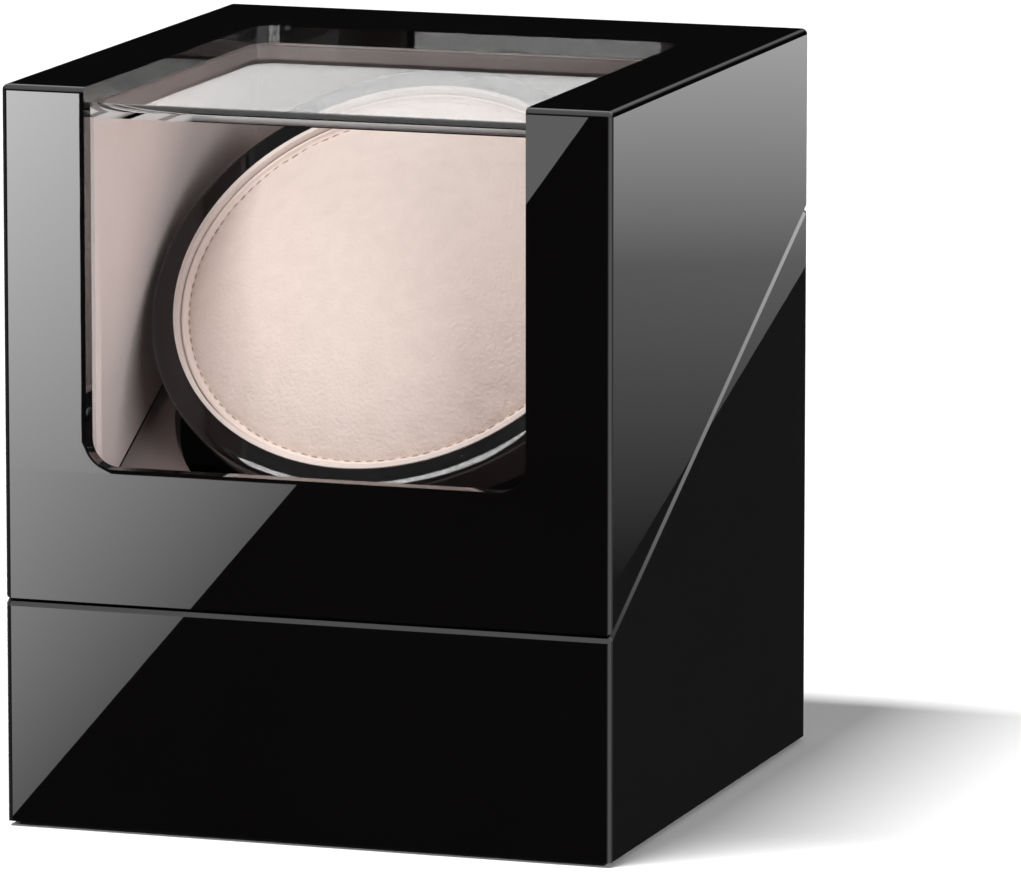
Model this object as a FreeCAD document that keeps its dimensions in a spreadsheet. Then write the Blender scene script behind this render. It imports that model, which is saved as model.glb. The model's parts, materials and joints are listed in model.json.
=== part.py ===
"""Single watch winder: a slanted two-part box, a tilted turning cup with a pillow, and its geared drive.

Frame: X to the right, Y to the back, Z up, origin on the ground under the middle of the case. Millimetres.
"""
import FreeCAD, Part
import math
import os
import Sketcher

V = FreeCAD.Vector

# Driving dimensions, in millimetres, degrees and counts.
SIZES = {
    # case
    "case_width": 125.0,
    "case_depth": 130.0,
    "case_height": 147.5,
    "wall": 6.5,
    "corner_round": 1.2,
    "rim_chamfer": 0.6,
    "lid_front_height": 102.5,
    "lid_back_height": 36.5,
    "seam": 0.4,
    # window
    "window_width": 90.4,
    "window_drop": 75.0,
    "window_past_cup": 8.3,
    "window_corner": 5.5,
    "pane_thickness": 3.0,
    "pane_lap": 2.0,
    "pane_clearance": 0.2,
    "pane_bend": 1.4,
    # lining boards
    "lining": 3.0,
    "lining_inset": 0.8,
    "lining_sill_drop": 1.4,
    # bottom of the base
    "felt_thickness": 1.0,
    "felt_margin": 2.0,
    "bottom_thickness": 5.0,
    "bottom_lap": 3.0,
    "bottom_clearance": 0.15,
    "block_side": 12.0,
    "block_room": 13.0,
    # deck
    "deck_drop": 4.5,
    "deck_thickness": 4.0,
    "deck_clearance": 0.3,
    "deck_room": 2.0,
    "ledger_width": 8.0,
    "ledger_height": 10.0,
    "ledger_panel_room": 4.0,
    "bumper_diameter": 3.5,
    "bumper_side_inset": 12.0,
    "bumper_back_place": 30.0,
    # cup
    "cup_tilt": 45.0,
    "cup_forward": 10.0,
    "cup_head_room": 1.8,
    "cup_side_room": 2.5,
    "cup_rim_width": 5.0,
    "cup_rim_round": 1.4,
    "cup_depth": 34.0,
    "cup_floor": 3.0,
    "cup_taper": 3.5,
    "cup_heel": 8.0,
    "cup_boss_diameter": 15.0,
    "cup_boss_height": 2.0,
    "hub_diameter": 18.0,
    "hub_height": 2.0,
    "liner_thickness": 0.9,
    "liner_proud": 0.3,
    # pillow
    "pillow_clearance": 0.3,
    "pillow_crown": 12.8,
    "pillow_edge_drop": 0.8,
    "pillow_depth": 22.0,
    "pillow_draw": 7.0,
    "pillow_edge_round": 3.0,
    # drive
    "shaft_diameter": 6.0,
    "shaft_tail": 2.5,
    "running_clearance": 0.05,
    "gear_module": 0.8,
    "gear_teeth": 48,
    "pinion_teeth": 16,
    "gear_width": 6.0,
    "gear_web": 3.0,
    "gear_hub_diameter": 13.0,
    "gear_hub_height": 1.0,
    "thrust_thickness": 0.5,
    "bush_diameter": 10.0,
    "bush_flange_diameter": 14.0,
    "bush_flange": 1.0,
    "bush_length": 9.5,
    "clip_thickness": 0.8,
    "clip_diameter": 11.0,
    "clip_groove": 0.8,
    "clip_mouth": 4.0,
    "hub_washer_diameter": 12.0,
    "cradle_plate": 4.0,
    "cradle_wall": 3.0,
    "cradle_inner_width": 48.0,
    "cradle_upper_reach": 8.0,
    "cradle_lower_reach": 42.0,
    "cradle_heel": 12.0,
    "cradle_boss_diameter": 16.0,
    "cradle_foot": 11.0,
    "cradle_foot_thickness": 3.0,
    "cradle_screw_inset": 7.0,
    "gearbox_diameter": 25.0,
    "gearbox_length": 15.0,
    "motor_diameter": 24.4,
    "motor_length": 14.0,
    "motor_cap_diameter": 17.6,
    "motor_cap_thickness": 2.0,
    "terminal_spacing": 8.8,
    "terminal_width": 2.0,
    "terminal_thickness": 0.5,
    "terminal_length": 4.0,
    "output_diameter": 4.0,
    "output_hole_diameter": 9.0,
    "output_socket": 12.0,
    "motor_screw_spacing": 17.0,
    # hinges
    "hinge_spacing": 72.0,
    "hinge_length": 24.0,
    "hinge_knuckle": 8.0,
    "hinge_play": 0.2,
    "barrel_diameter": 4.0,
    "hinge_pin_diameter": 1.6,
    "leaf_thickness": 1.2,
    "leaf_width": 5.0,
    "leaf_screw_spacing": 15.0,
    "leaf_screw_place": 3.4,
    # control panel
    "panel_drop": 45.0,
    "well_width": 60.0,
    "well_rise": 26.0,
    "well_depth": 14.0,
    "well_wall": 2.0,
    "panel_margin": 7.0,
    "panel_thickness": 1.5,
    "panel_clearance": 0.2,
    "board_width": 56.0,
    "board_rise": 24.0,
    "board_thickness": 1.6,
    "switch_place": 14.0,
    "switch_side": 13.0,
    "switch_body": 6.4,
    "switch_bush_diameter": 7.0,
    "switch_bush_length": 6.0,
    "nut_across": 10.0,
    "nut_thickness": 2.0,
    "switch_back": 1.0,
    "spindle_diameter": 4.0,
    "spindle_play": 0.2,
    "knob_diameter": 15.0,
    "knob_height": 9.0,
    "knob_gap": 0.4,
    "knob_taper": 0.6,
    "knob_socket": 6.3,
    "knob_flutes": 18,
    "knob_flute_diameter": 1.6,
    "knob_flute_length": 6.75,
    "socket_width": 9.5,
    "socket_rise": 11.0,
    "socket_length": 10.4,
    "socket_bore": 6.3,
    "socket_pin": 2.0,
    "socket_pin_recess": 0.9,
    "socket_back": 1.5,
    # screws
    "screw_clearance": 0.04,
    "wood_screw_diameter": 3.0,
    "wood_screw_head": 5.6,
    "wood_screw_length": 16.0,
    "cradle_screw_length": 7.0,
    "small_screw_diameter": 2.0,
    "small_screw_head": 3.6,
    "small_screw_length": 6.0,
    "leaf_screw_diameter": 1.6,
    "leaf_screw_head": 2.8,
    "leaf_screw_length": 4.0,
    "hub_screw_diameter": 3.0,
    "hub_screw_head": 5.5,
    "hub_screw_length": 12.0,
    "pan_height": 1.8,
}

# Sizes that follow from the driving dimensions. Along the cup's axis, places are depths below the rim.
DERIVED = {
    "half_width": "dims.case_width / 2",
    "half_depth": "dims.case_depth / 2",
    "inner_half_width": "dims.case_width / 2 - dims.wall",
    "inner_half_depth": "dims.case_depth / 2 - dims.wall",
    "floor_z": "dims.felt_thickness + dims.bottom_thickness",
    "split_front": "dims.case_height - dims.lid_front_height",
    "split_back": "dims.case_height - dims.lid_back_height",
    "slope": "(split_back - split_front) / dims.case_depth",
    "split_angle": "atan((split_back - split_front) / dims.case_depth)",
    "split_cos": "cos(split_angle)",
    "split_sin": "sin(split_angle)",
    "ceiling": "dims.case_height - dims.wall",
    "window_half": "dims.window_width / 2",
    "window_sill": "dims.case_height - dims.window_drop",
    "pane_front": "dims.wall - dims.case_depth / 2 - dims.pane_thickness",
    "pane_top": "dims.case_height - dims.wall + dims.pane_thickness",
    "lining_top": "dims.case_height - dims.wall - dims.lining",
    "tilt_sin": "sin(dims.cup_tilt * 1 deg)",
    "tilt_cos": "cos(dims.cup_tilt * 1 deg)",
    "cup_radius": "inner_half_width - dims.lining - dims.cup_side_room",
    "cup_bore": "cup_radius - dims.cup_rim_width",
    "cup_y": "-dims.cup_forward",
    "cup_z": "ceiling - dims.cup_head_room - cup_radius * tilt_sin",
    "window_back": "cup_y + cup_radius * tilt_cos + dims.window_past_cup",
    "cup_inside": "dims.cup_depth - dims.cup_floor",
    "boss_top": "dims.cup_depth - dims.cup_floor - dims.cup_boss_height",
    "hub_end": "dims.cup_depth + dims.hub_height",
    "gear_end": "dims.cup_depth + dims.hub_height + dims.gear_width",
    "gear_hub_end": "dims.cup_depth + dims.hub_height + dims.gear_width + dims.gear_hub_height",
    "bush_top": "gear_hub_end + dims.thrust_thickness",
    "plate_top": "bush_top + dims.bush_flange",
    "plate_end": "plate_top + dims.cradle_plate",
    "bush_end": "plate_top + dims.bush_length",
    "clip_top": "bush_end + dims.running_clearance + dims.thrust_thickness",
    "shaft_end": "clip_top + dims.clip_thickness + dims.shaft_tail",
    "gear_pitch": "dims.gear_module * dims.gear_teeth / 2",
    "pinion_pitch": "dims.gear_module * dims.pinion_teeth / 2",
    "motor_place": "-dims.gear_module * (dims.gear_teeth + dims.pinion_teeth) / 2",
    "gearbox_end": "plate_end + dims.gearbox_length",
    "motor_end": "gearbox_end + dims.motor_length",
    "cradle_half": "dims.cradle_inner_width / 2 + dims.cradle_wall",
    "pillow_radius": "cup_bore - dims.liner_thickness - dims.pillow_clearance",
    "seam_half": "dims.seam * split_cos / 2",
    "deck_under": "dims.seam / 2 + dims.deck_drop + dims.deck_thickness / split_cos",
    "block_top": "split_front + slope * dims.wall - deck_under - dims.block_room",
    "panel_height": "split_back - dims.panel_drop",
    "hinge_reach": "dims.barrel_diameter / 2 + dims.hinge_play",
    "hinge_y": "half_depth + hinge_reach",
    "hinge_z": "split_back + slope * hinge_reach",
    "well_floor": "half_depth - dims.well_depth",
    "board_back": "well_floor - dims.well_wall - dims.switch_body",
    "bush_tip": "well_floor - dims.well_wall + dims.switch_bush_length",
    "knob_foot": "bush_tip + dims.knob_gap",
}

# How far a cutting shape reaches past the face that it opens.
OVERCUT = 1.0

# Gear teeth, in modules: reach above and below the pitch circle, root in the blank, and half widths.
ADDENDUM = 0.9
DEDENDUM = 1.15
TOOTH_ROOT = 1.6
FOOT_HALF = 0.92
PITCH_HALF = 0.66
TIP_HALF = 0.3
GEAR_RIM = 4.0

# Shapes closer than this are taken as touching when edges are picked.
NEAR = 1e-3

doc = FreeCAD.newDocument("watch_winder_box")
nodes = {}


def make_sheets():
    """Fill the sheet of driving dimensions and the sheet of sizes worked out from them."""
    sheet = doc.addObject("Spreadsheet::Sheet", "dims")
    for row, (alias, number) in enumerate(SIZES.items(), start=1):
        sheet.set(f"A{row}", alias)
        sheet.set(f"B{row}", str(number))
        sheet.setAlias(f"B{row}", alias)
    doc.recompute()
    derived = doc.addObject("Spreadsheet::Sheet", "geo")
    for row, (alias, formula) in enumerate(DERIVED.items(), start=1):
        derived.set(f"A{row}", alias)
        derived.set(f"B{row}", "=" + formula)
        derived.setAlias(f"B{row}", alias)
        doc.recompute()
    return sheet


dims = make_sheets()


def value(expression):
    """The number that an expression on the sheets gives."""
    result = dims.evalExpression(str(expression))
    return float(getattr(result, "Value", result))


def bind(thing, **expressions):
    """Bind properties of an object to expressions on the sheets."""
    for name, expression in expressions.items():
        thing.setExpression(name, str(expression))
    return thing


def place(thing, x="0", y="0", z="0", turn=None, axis=V(1, 0, 0)):
    """Bind an object's place, and its turn about an axis through its own origin."""
    if turn is not None:
        thing.Placement = FreeCAD.Placement(V(0, 0, 0), FreeCAD.Rotation(axis, value(turn)))
        thing.setExpression("Placement.Rotation.Angle", str(turn))
    for name, expression in (("x", x), ("y", y), ("z", z)):
        thing.setExpression(f"Placement.Base.{name}", str(expression))
    return thing


def on_axis(thing, along_face="0", across="0"):
    """Place an object that is drawn about the cup's axis, with its Z out of the cup and 0 at the rim."""
    return place(thing, across, f"geo.cup_y + ({along_face}) * geo.tilt_cos",
                 f"geo.cup_z + ({along_face}) * geo.tilt_sin", "dims.cup_tilt")


def axis_point(depth, along_face):
    """The Y and Z of a point at a depth below the rim and a distance up the cup's face."""
    return (f"geo.cup_y + ({depth}) * geo.tilt_sin + ({along_face}) * geo.tilt_cos",
            f"geo.cup_z - ({depth}) * geo.tilt_cos + ({along_face}) * geo.tilt_sin")


def rim_z(y, rise):
    """The height of the slanted split plane at Y, with a rise above it."""
    return f"geo.split_front + geo.slope * (({y}) + geo.half_depth) + ({rise})"


def node(label, thing):
    """Name a finished sub-part."""
    thing.Label = label
    nodes[label] = thing
    return thing


# Primitives and booleans.
def box(name, low, high):
    """A box between two corners, each given as three expressions."""
    shape = doc.addObject("Part::Box", name)
    sides = [f"({b}) - ({a})" for a, b in zip(low, high)]
    bind(shape, Length=sides[0], Width=sides[1], Height=sides[2])
    return place(shape, *low)


def cylinder(name, radius, start, end):
    """A cylinder along Z between two heights."""
    shape = doc.addObject("Part::Cylinder", name)
    bind(shape, Radius=radius, Height=f"({end}) - ({start})")
    return place(shape, "0", "0", start)


def cone(name, radius_low, radius_high, start, end):
    """A cone along Z between two heights."""
    shape = doc.addObject("Part::Cone", name)
    bind(shape, Radius1=radius_low, Radius2=radius_high, Height=f"({end}) - ({start})")
    return place(shape, "0", "0", start)


def fuse(name, shapes):
    """One solid from several that overlap or touch."""
    if len(shapes) == 1:
        return shapes[0]
    joined = doc.addObject("Part::MultiFuse", name)
    joined.Shapes = shapes
    joined.Refine = True
    return joined


def cut(name, base, tools):
    """A solid with tools taken away."""
    result = doc.addObject("Part::Cut", name)
    result.Base = base
    result.Tool = fuse(name + "_tools", tools)
    return result


def group(label, shapes):
    """Several like solids in one node."""
    bundle = doc.addObject("Part::Compound", label)
    bundle.Links = shapes
    return node(label, bundle)


# Bodies with sketches.
def new_body(name):
    """An empty body."""
    return doc.addObject("PartDesign::Body", name)


def sketch_on(body, plane, corners, offset="0"):
    """A closed sketch on one of the body's planes.

    Each corner is two expressions. A third makes the stretch to the next corner an arc of that radius, which
    bulges to the right of the way there.
    """
    sketch = body.newObject("Sketcher::SketchObject", body.Name + "_sketch")
    support = [item for item in body.Origin.OriginFeatures if item.Role == plane][0]
    sketch.AttachmentSupport = [(support, "")]
    sketch.MapMode = "FlatFace"
    sketch.setExpression("AttachmentOffset.Base.z", offset)
    points = [V(value(corner[0]), value(corner[1]), 0) for corner in corners]
    count = len(points)
    for index, corner in enumerate(corners):
        start, end = points[index], points[(index + 1) % count]
        if len(corner) == 2:
            sketch.addGeometry(Part.LineSegment(start, end))
        else:
            sketch.addGeometry(arc_right(start, end, value(corner[2])))
    for index, corner in enumerate(corners):
        sketch.addConstraint(Sketcher.Constraint("Coincident", index, 2, (index + 1) % count, 1))
    for index, corner in enumerate(corners):
        measures = [("DistanceX", corner[0]), ("DistanceY", corner[1])]
        for kind, expression in measures:
            made = sketch.addConstraint(Sketcher.Constraint(kind, -1, 1, index, 1, value(expression)))
            sketch.setExpression(f"Constraints[{made}]", expression)
        if len(corner) == 3:
            made = sketch.addConstraint(Sketcher.Constraint("Radius", index, value(corner[2])))
            sketch.setExpression(f"Constraints[{made}]", corner[2])
    return sketch


def arc_right(start, end, radius):
    """The short arc from start to end, counterclockwise, so that it bulges to the right of the chord."""
    chord = end - start
    half = chord.Length / 2
    left = V(-chord.y, chord.x, 0).normalize()
    middle = start + chord * 0.5 + left * math.sqrt(max(radius * radius - half * half, 0))
    first = math.atan2(start.y - middle.y, start.x - middle.x)
    last = math.atan2(end.y - middle.y, end.x - middle.x)
    return Part.ArcOfCircle(Part.Circle(middle, V(0, 0, 1), radius), first, last)


def pad(body, plane, corners, length, offset="0", symmetric=False):
    """A prism on a closed sketch."""
    feature = body.newObject("PartDesign::Pad", body.Name + "_pad")
    feature.Profile = sketch_on(body, plane, corners, offset)
    feature.SideType = "Symmetric" if symmetric else "One side"
    return bind(feature, Length=length)


def pocket(body, plane, corners, length, offset="0"):
    """A prism taken away, against the plane's normal."""
    feature = body.newObject("PartDesign::Pocket", body.Name + "_pocket")
    feature.Profile = sketch_on(body, plane, corners, offset)
    return bind(feature, Length=length)


def revolve(body, corners):
    """A turned solid: corners are radius and height, about Z."""
    sketch = sketch_on(body, "XZ_Plane", corners)
    feature = body.newObject("PartDesign::Revolution", body.Name + "_turn")
    feature.Profile = sketch
    feature.ReferenceAxis = (sketch, ["V_Axis"])
    feature.Angle = 360
    return feature


def repeat_round(body, feature, count):
    """Repeat a feature about Z."""
    pattern = body.newObject("PartDesign::PolarPattern", body.Name + "_ring")
    pattern.Originals = [feature]
    pattern.Axis = ([item for item in body.Origin.OriginFeatures if item.Role == "Z_Axis"][0], [""])
    pattern.Angle = 360
    bind(pattern, Occurrences=count)
    body.Tip = pattern
    return pattern


def dress(body, kind, feature, size, test):
    """Round or chamfer the edges of a feature that pass a test."""
    doc.recompute()
    names = [f"Edge{i}" for i, edge in enumerate(feature.Shape.Edges, start=1) if test(edge)]
    edges = body.newObject("PartDesign::" + kind, f"{body.Name}_{kind.lower()}")
    edges.Base = (feature, names)
    return bind(edges, **{"Radius" if kind == "Fillet" else "Size": size})


def rectangle(half_x, half_y):
    """The corners of a rectangle about the origin."""
    left, front = f"-({half_x})", f"-({half_y})"
    return [(left, front), (half_x, front), (half_x, half_y), (left, half_y)]


def is_upright(edge):
    """Whether an edge is parallel to Z."""
    return edge.BoundBox.XLength < NEAR and edge.BoundBox.YLength < NEAR


def lies_on_split(rise):
    """A test for edges that lie on the split plane with a rise above it."""
    front, slope, half = value("geo.split_front"), value("geo.slope"), value("geo.half_depth")
    lift = value(rise)
    return lambda edge: all(abs(p.Z - front - slope * (p.Y + half) - lift) < NEAR for p in edge.Vertexes)


def lies_at(height):
    """A test for level edges at a height."""
    level = value(height)
    return lambda edge: edge.BoundBox.ZLength < NEAR and abs(edge.BoundBox.ZMin - level) < NEAR


def rings_at(radius, height):
    """A test for the circle of a turned solid at a radius and a height."""
    wide, level = value(radius), value(height)
    return lambda edge: lies_at(height)(edge) and abs(edge.BoundBox.XMax - wide) < NEAR


# Screws. Each is drawn with the top of its seat at 0 and its shank down -Z.
def screw(name, diameter, head, length, flush, grow="0"):
    """A screw, or with grow the room that it needs. A flush head is sunk, any other is a pan head."""
    shank = cylinder(name + "_shank", f"{diameter} / 2 + {grow}", f"-({length})", "0")
    if flush:
        top = cone(name + "_head", f"{diameter} / 2 + {grow}", f"{head} / 2 + {grow}",
                   f"-({head} - {diameter}) / 2", "0")
    else:
        top = cylinder(name + "_head", f"{head} / 2 + {grow}", "0", "dims.pan_height")
    return fuse(name, [shank, top])


HINGE_PLACES = ("-dims.hinge_spacing / 2", "dims.hinge_spacing / 2")
LEAF_SCREW_PLACES = ("-dims.leaf_screw_spacing / 2", "dims.leaf_screw_spacing / 2")


def leaf_screws(name, upward, grow="0", hinges=HINGE_PLACES):
    """The screws of the hinges' leaves on one side of the split, or the room that they need."""
    made = []
    along = "-(geo.hinge_reach / geo.split_cos + dims.leaf_screw_place)"
    for side, hinge_x in enumerate(hinges):
        for row, screw_x in enumerate(LEAF_SCREW_PLACES):
            one = screw(f"{name}_{side}{row}", "dims.leaf_screw_diameter", "dims.leaf_screw_head",
                        "dims.leaf_screw_length", True, grow)
            sign = 1 if upward else -1
            turn = "geo.split_angle + 180 deg" if upward else "geo.split_angle"
            y = f"geo.hinge_y + ({along}) * geo.split_cos - {sign} * geo.seam_half * geo.split_sin"
            z = f"geo.hinge_z + ({along}) * geo.split_sin + {sign} * geo.seam_half * geo.split_cos"
            made.append(place(one, f"{hinge_x} + {screw_x}", y, z, turn))
    return made


def leaf_block(name, upward, x, grow="0", open_height="0"):
    """A hinge leaf's plate, or with grow its mortise, which is open towards the seam."""
    near = f"geo.seam_half - ({open_height})"
    far = f"geo.seam_half + dims.leaf_thickness + {grow}"
    low, high = (near, far) if upward else (f"-({far})", f"-({near})")
    inner = f"-(geo.hinge_reach / geo.split_cos + dims.leaf_width + {grow})"
    half = f"dims.hinge_length / 2 + {grow}"
    plate = box(name, (f"-({half})", inner, low), (half, "0", high))
    return place(plate, f"{x} - ({half})",
                 f"geo.hinge_y + ({inner}) * geo.split_cos - ({low}) * geo.split_sin",
                 f"geo.hinge_z + ({inner}) * geo.split_sin + ({low}) * geo.split_cos", "geo.split_angle")


# The base of the case.
def make_base_shell():
    """Four lacquered walls with a slanted rim, a rabbet for the bottom and an opening for the panel."""
    body = new_body("base_walls")
    rise = "-dims.seam / 2"
    outline = [("-geo.half_depth", "dims.felt_thickness"), ("geo.half_depth", "dims.felt_thickness"),
               ("geo.half_depth", f"geo.split_back + {rise}"),
               ("-geo.half_depth", f"geo.split_front + {rise}")]
    walls = pad(body, "YZ_Plane", outline, "dims.case_width", symmetric=True)
    rounded = dress(body, "Fillet", walls, "dims.corner_round", is_upright)
    dress(body, "Chamfer", rounded, "dims.rim_chamfer", lies_on_split(rise))
    pocket(body, "XY_Plane", rectangle("geo.inner_half_width", "geo.inner_half_depth"), "dims.case_height",
           "dims.case_height")
    lap = "dims.bottom_lap"
    pocket(body, "XY_Plane", rectangle(f"geo.inner_half_width + {lap}", f"geo.inner_half_depth + {lap}"),
           "dims.bottom_thickness", "geo.floor_z")
    gap = "dims.panel_clearance"
    half_x, half_z = f"dims.well_width / 2 + {gap}", f"dims.well_rise / 2 + {gap}"
    opening = box("panel_opening", (f"-({half_x})", f"geo.inner_half_depth - {OVERCUT}",
                                    f"geo.panel_height - ({half_z})"),
                  (half_x, f"geo.half_depth + {OVERCUT}", f"geo.panel_height + {half_z}"))
    tools = [opening] + panel_screws("panel_screw_room", "dims.screw_clearance")
    tools += [leaf_block(f"base_mortise_{i}", False, x, "dims.screw_clearance", "dims.leaf_thickness")
              for i, x in enumerate(HINGE_PLACES)]
    tools += leaf_screws("base_leaf_screw_room", False, "dims.screw_clearance")
    node("base_shell", cut("base_shell", body, tools))


BLOCK_SIDES = [(sx, sy) for sx in (-1, 1) for sy in (-1, 1)]


def bottom_screws(name, grow="0"):
    """The screws that hold the bottom plate to the corner blocks, or the room that they need."""
    made = []
    for index, (sx, sy) in enumerate(BLOCK_SIDES):
        one = screw(f"{name}_{index}", "dims.wood_screw_diameter", "dims.wood_screw_head",
                    "dims.wood_screw_length", True, grow)
        made.append(place(one, f"{sx} * (geo.inner_half_width - dims.block_side / 2)",
                          f"{sy} * (geo.inner_half_depth - dims.block_side / 2)",
                          "dims.felt_thickness", "180"))
    return made


def cradle_screws(name, grow="0"):
    """The screws that hold the motor cradle's feet to the bottom plate, or the room that they need."""
    made = []
    front, back = cradle_reach()
    inset = "dims.cradle_screw_inset"
    for side in (-1, 1):
        for row, y in enumerate((f"{front} + {inset}", f"{back} - {inset}")):
            one = screw(f"{name}_{row}_{side + 1}", "dims.wood_screw_diameter", "dims.wood_screw_head",
                        "dims.cradle_screw_length", False, grow)
            made.append(place(one, f"{side} * (geo.cradle_half + dims.cradle_foot / 2)", y,
                              "geo.floor_z + dims.cradle_foot_thickness"))
    return made


def make_bottom():
    """The bottom plate, the blocks that it screws to, its screws and the felt sheet under it."""
    half_x = "geo.inner_half_width + dims.bottom_lap - dims.bottom_clearance"
    half_y = "geo.inner_half_depth + dims.bottom_lap - dims.bottom_clearance"
    plate = box("bottom_board", (f"-({half_x})", f"-({half_y})", "dims.felt_thickness"),
                (half_x, half_y, "geo.floor_z"))
    rooms = bottom_screws("bottom_screw_room", "dims.screw_clearance")
    rooms += cradle_screws("cradle_screw_pilot", "dims.screw_clearance")
    node("bottom_plate", cut("bottom_plate", plate, rooms))
    blocks = []
    for index, (sx, sy) in enumerate(BLOCK_SIDES):
        x_low = "geo.inner_half_width - dims.block_side" if sx > 0 else "-geo.inner_half_width"
        y_low = "geo.inner_half_depth - dims.block_side" if sy > 0 else "-geo.inner_half_depth"
        block = box(f"block_{index}", (x_low, y_low, "geo.floor_z"),
                    (f"{x_low} + dims.block_side", f"{y_low} + dims.block_side", "geo.block_top"))
        blocks.append(cut(f"drilled_block_{index}", block,
                          [bottom_screws(f"block_room_{index}", "dims.screw_clearance")[index]]))
    group("corner_blocks", blocks)
    group("bottom_screws", bottom_screws("bottom_screw"))
    felt_x, felt_y = "geo.half_width - dims.felt_margin", "geo.half_depth - dims.felt_margin"
    node("base_felt", box("base_felt", (f"-({felt_x})", f"-({felt_y})", "0"),
                          (felt_x, felt_y, "dims.felt_thickness")))


def make_deck():
    """The lined board under the rim, opened for the cup and gear, its ledgers and the rim's rubber dots."""
    top = "-dims.seam / 2 - dims.deck_drop"
    bottom = "-geo.deck_under"
    end = "geo.inner_half_depth - dims.deck_clearance"
    body = new_body("deck_board")
    outline = [(f"-({end})", rim_z(f"-({end})", bottom)), (end, rim_z(end, bottom)),
               (end, rim_z(end, top)), (f"-({end})", rim_z(f"-({end})", top))]
    pad(body, "YZ_Plane", outline, "2 * (geo.inner_half_width - dims.deck_clearance)", symmetric=True)
    cup_room = cylinder("deck_cup_room", "geo.cup_radius + dims.deck_room", "0", "dims.cup_depth * 2")
    gear_room = cylinder("deck_gear_room", "geo.gear_pitch + dims.gear_module + dims.deck_room", "0",
                         "geo.plate_top")
    seat_depth = "dims.cup_depth + dims.deck_room"
    place(cup_room, "0", *axis_point(seat_depth, "0"), "dims.cup_tilt")
    place(gear_room, "0", *axis_point("geo.plate_top", "0"), "dims.cup_tilt")
    node("deck", cut("deck", body, [cup_room, gear_room]))

    front = new_body("front_ledger")
    inner = "dims.ledger_width - geo.inner_half_depth"
    foot = rim_z("-geo.inner_half_depth", bottom) + " - dims.ledger_height"
    pad(front, "YZ_Plane", [("-geo.inner_half_depth", foot), (inner, foot), (inner, rim_z(inner, bottom)),
                            ("-geo.inner_half_depth", rim_z("-geo.inner_half_depth", bottom))],
        "2 * (geo.inner_half_width - dims.block_side)", symmetric=True)
    ledgers = [front]
    inner = "geo.inner_half_depth - dims.ledger_width"
    foot = rim_z(inner, bottom) + " - dims.ledger_height"
    start = "dims.well_width / 2 + dims.ledger_panel_room"
    for name, offset in (("left_ledger", "-geo.inner_half_width"), ("right_ledger", start)):
        ledger = new_body(name)
        pad(ledger, "YZ_Plane", [(inner, foot), ("geo.inner_half_depth", foot),
                                 ("geo.inner_half_depth", rim_z("geo.inner_half_depth", bottom)),
                                 (inner, rim_z(inner, bottom))],
            f"geo.inner_half_width - ({start})", offset)
        ledgers.append(ledger)
    group("deck_ledgers", ledgers)

    dots = []
    half_wall = "dims.wall / 2"
    for side in (-1, 1):
        spots = [(f"{side} * (geo.half_width - dims.bumper_side_inset)", f"{half_wall} - geo.half_depth"),
                 (f"{side} * (geo.half_width - {half_wall})", "dims.bumper_back_place")]
        for row, (x, y) in enumerate(spots):
            dot = cylinder(f"dot_{row}_{side + 1}", "dims.bumper_diameter / 2", "0",
                           "dims.seam * geo.split_cos")
            dots.append(place(dot, x, y, rim_z(y, "-dims.seam / 2"), "geo.split_angle"))
    group("rim_bumpers", dots)


# The lid.
def make_lid_shell():
    """A lacquered shell, open below, with one window across its front and top and a rabbet for the pane."""
    body = new_body("lid_walls")
    rise = "dims.seam / 2"
    outline = [("-geo.half_depth", f"geo.split_front + {rise}"),
               ("geo.half_depth", f"geo.split_back + {rise}"),
               ("geo.half_depth", "dims.case_height"), ("-geo.half_depth", "dims.case_height")]
    walls = pad(body, "YZ_Plane", outline, "dims.case_width", symmetric=True)
    is_top = lies_at("dims.case_height")
    rounded = dress(body, "Fillet", walls, "dims.corner_round", lambda edge: is_upright(edge) or is_top(edge))
    dress(body, "Chamfer", rounded, "dims.rim_chamfer", lies_on_split(rise))
    pocket(body, "XY_Plane", rectangle("geo.inner_half_width", "geo.inner_half_depth"), "dims.case_height",
           "geo.ceiling")

    side, corner = "geo.window_half", "dims.window_corner"
    sill, above = "geo.window_sill", f"dims.case_height + {OVERCUT}"
    through = f"dims.wall + 2 * {OVERCUT}"
    front = new_body("window_front_room")
    pad(front, "XZ_Plane", [(f"-{side}", f"{sill} + {corner}", corner), (f"-{side} + {corner}", sill),
                            (f"{side} - {corner}", sill, corner), (side, f"{sill} + {corner}"),
                            (side, above), (f"-{side}", above)],
        through, f"geo.inner_half_depth - {OVERCUT}")
    back, before = "geo.window_back", f"-geo.half_depth - {OVERCUT}"
    top = new_body("window_top_room")
    pad(top, "XY_Plane", [(f"-{side}", before), (side, before), (side, f"{back} - {corner}", corner),
                          (f"{side} - {corner}", back), (f"-{side} + {corner}", back, corner),
                          (f"-{side}", f"{back} - {corner}")],
        through, f"geo.ceiling - {OVERCUT}")
    rabbet = new_body("pane_room")
    reach = "dims.pane_lap + dims.pane_clearance"
    low, behind = f"{sill} - ({reach})", f"{back} + {reach}"
    inner_y, inner_z = f"{OVERCUT} - geo.inner_half_depth", f"geo.ceiling - {OVERCUT}"
    pad(rabbet, "YZ_Plane", [("geo.pane_front", low), (inner_y, low), (inner_y, inner_z), (behind, inner_z),
                             (behind, "geo.pane_top"), ("geo.pane_front", "geo.pane_top")],
        f"2 * ({side} + {reach})", symmetric=True)
    tools = [front, top, rabbet]
    tools += [leaf_block(f"lid_mortise_{i}", True, x, "dims.screw_clearance", "dims.leaf_thickness")
              for i, x in enumerate(HINGE_PLACES)]
    tools += leaf_screws("lid_leaf_screw_room", True, "dims.screw_clearance")
    node("lid_shell", cut("lid_shell", body, tools))


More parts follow.
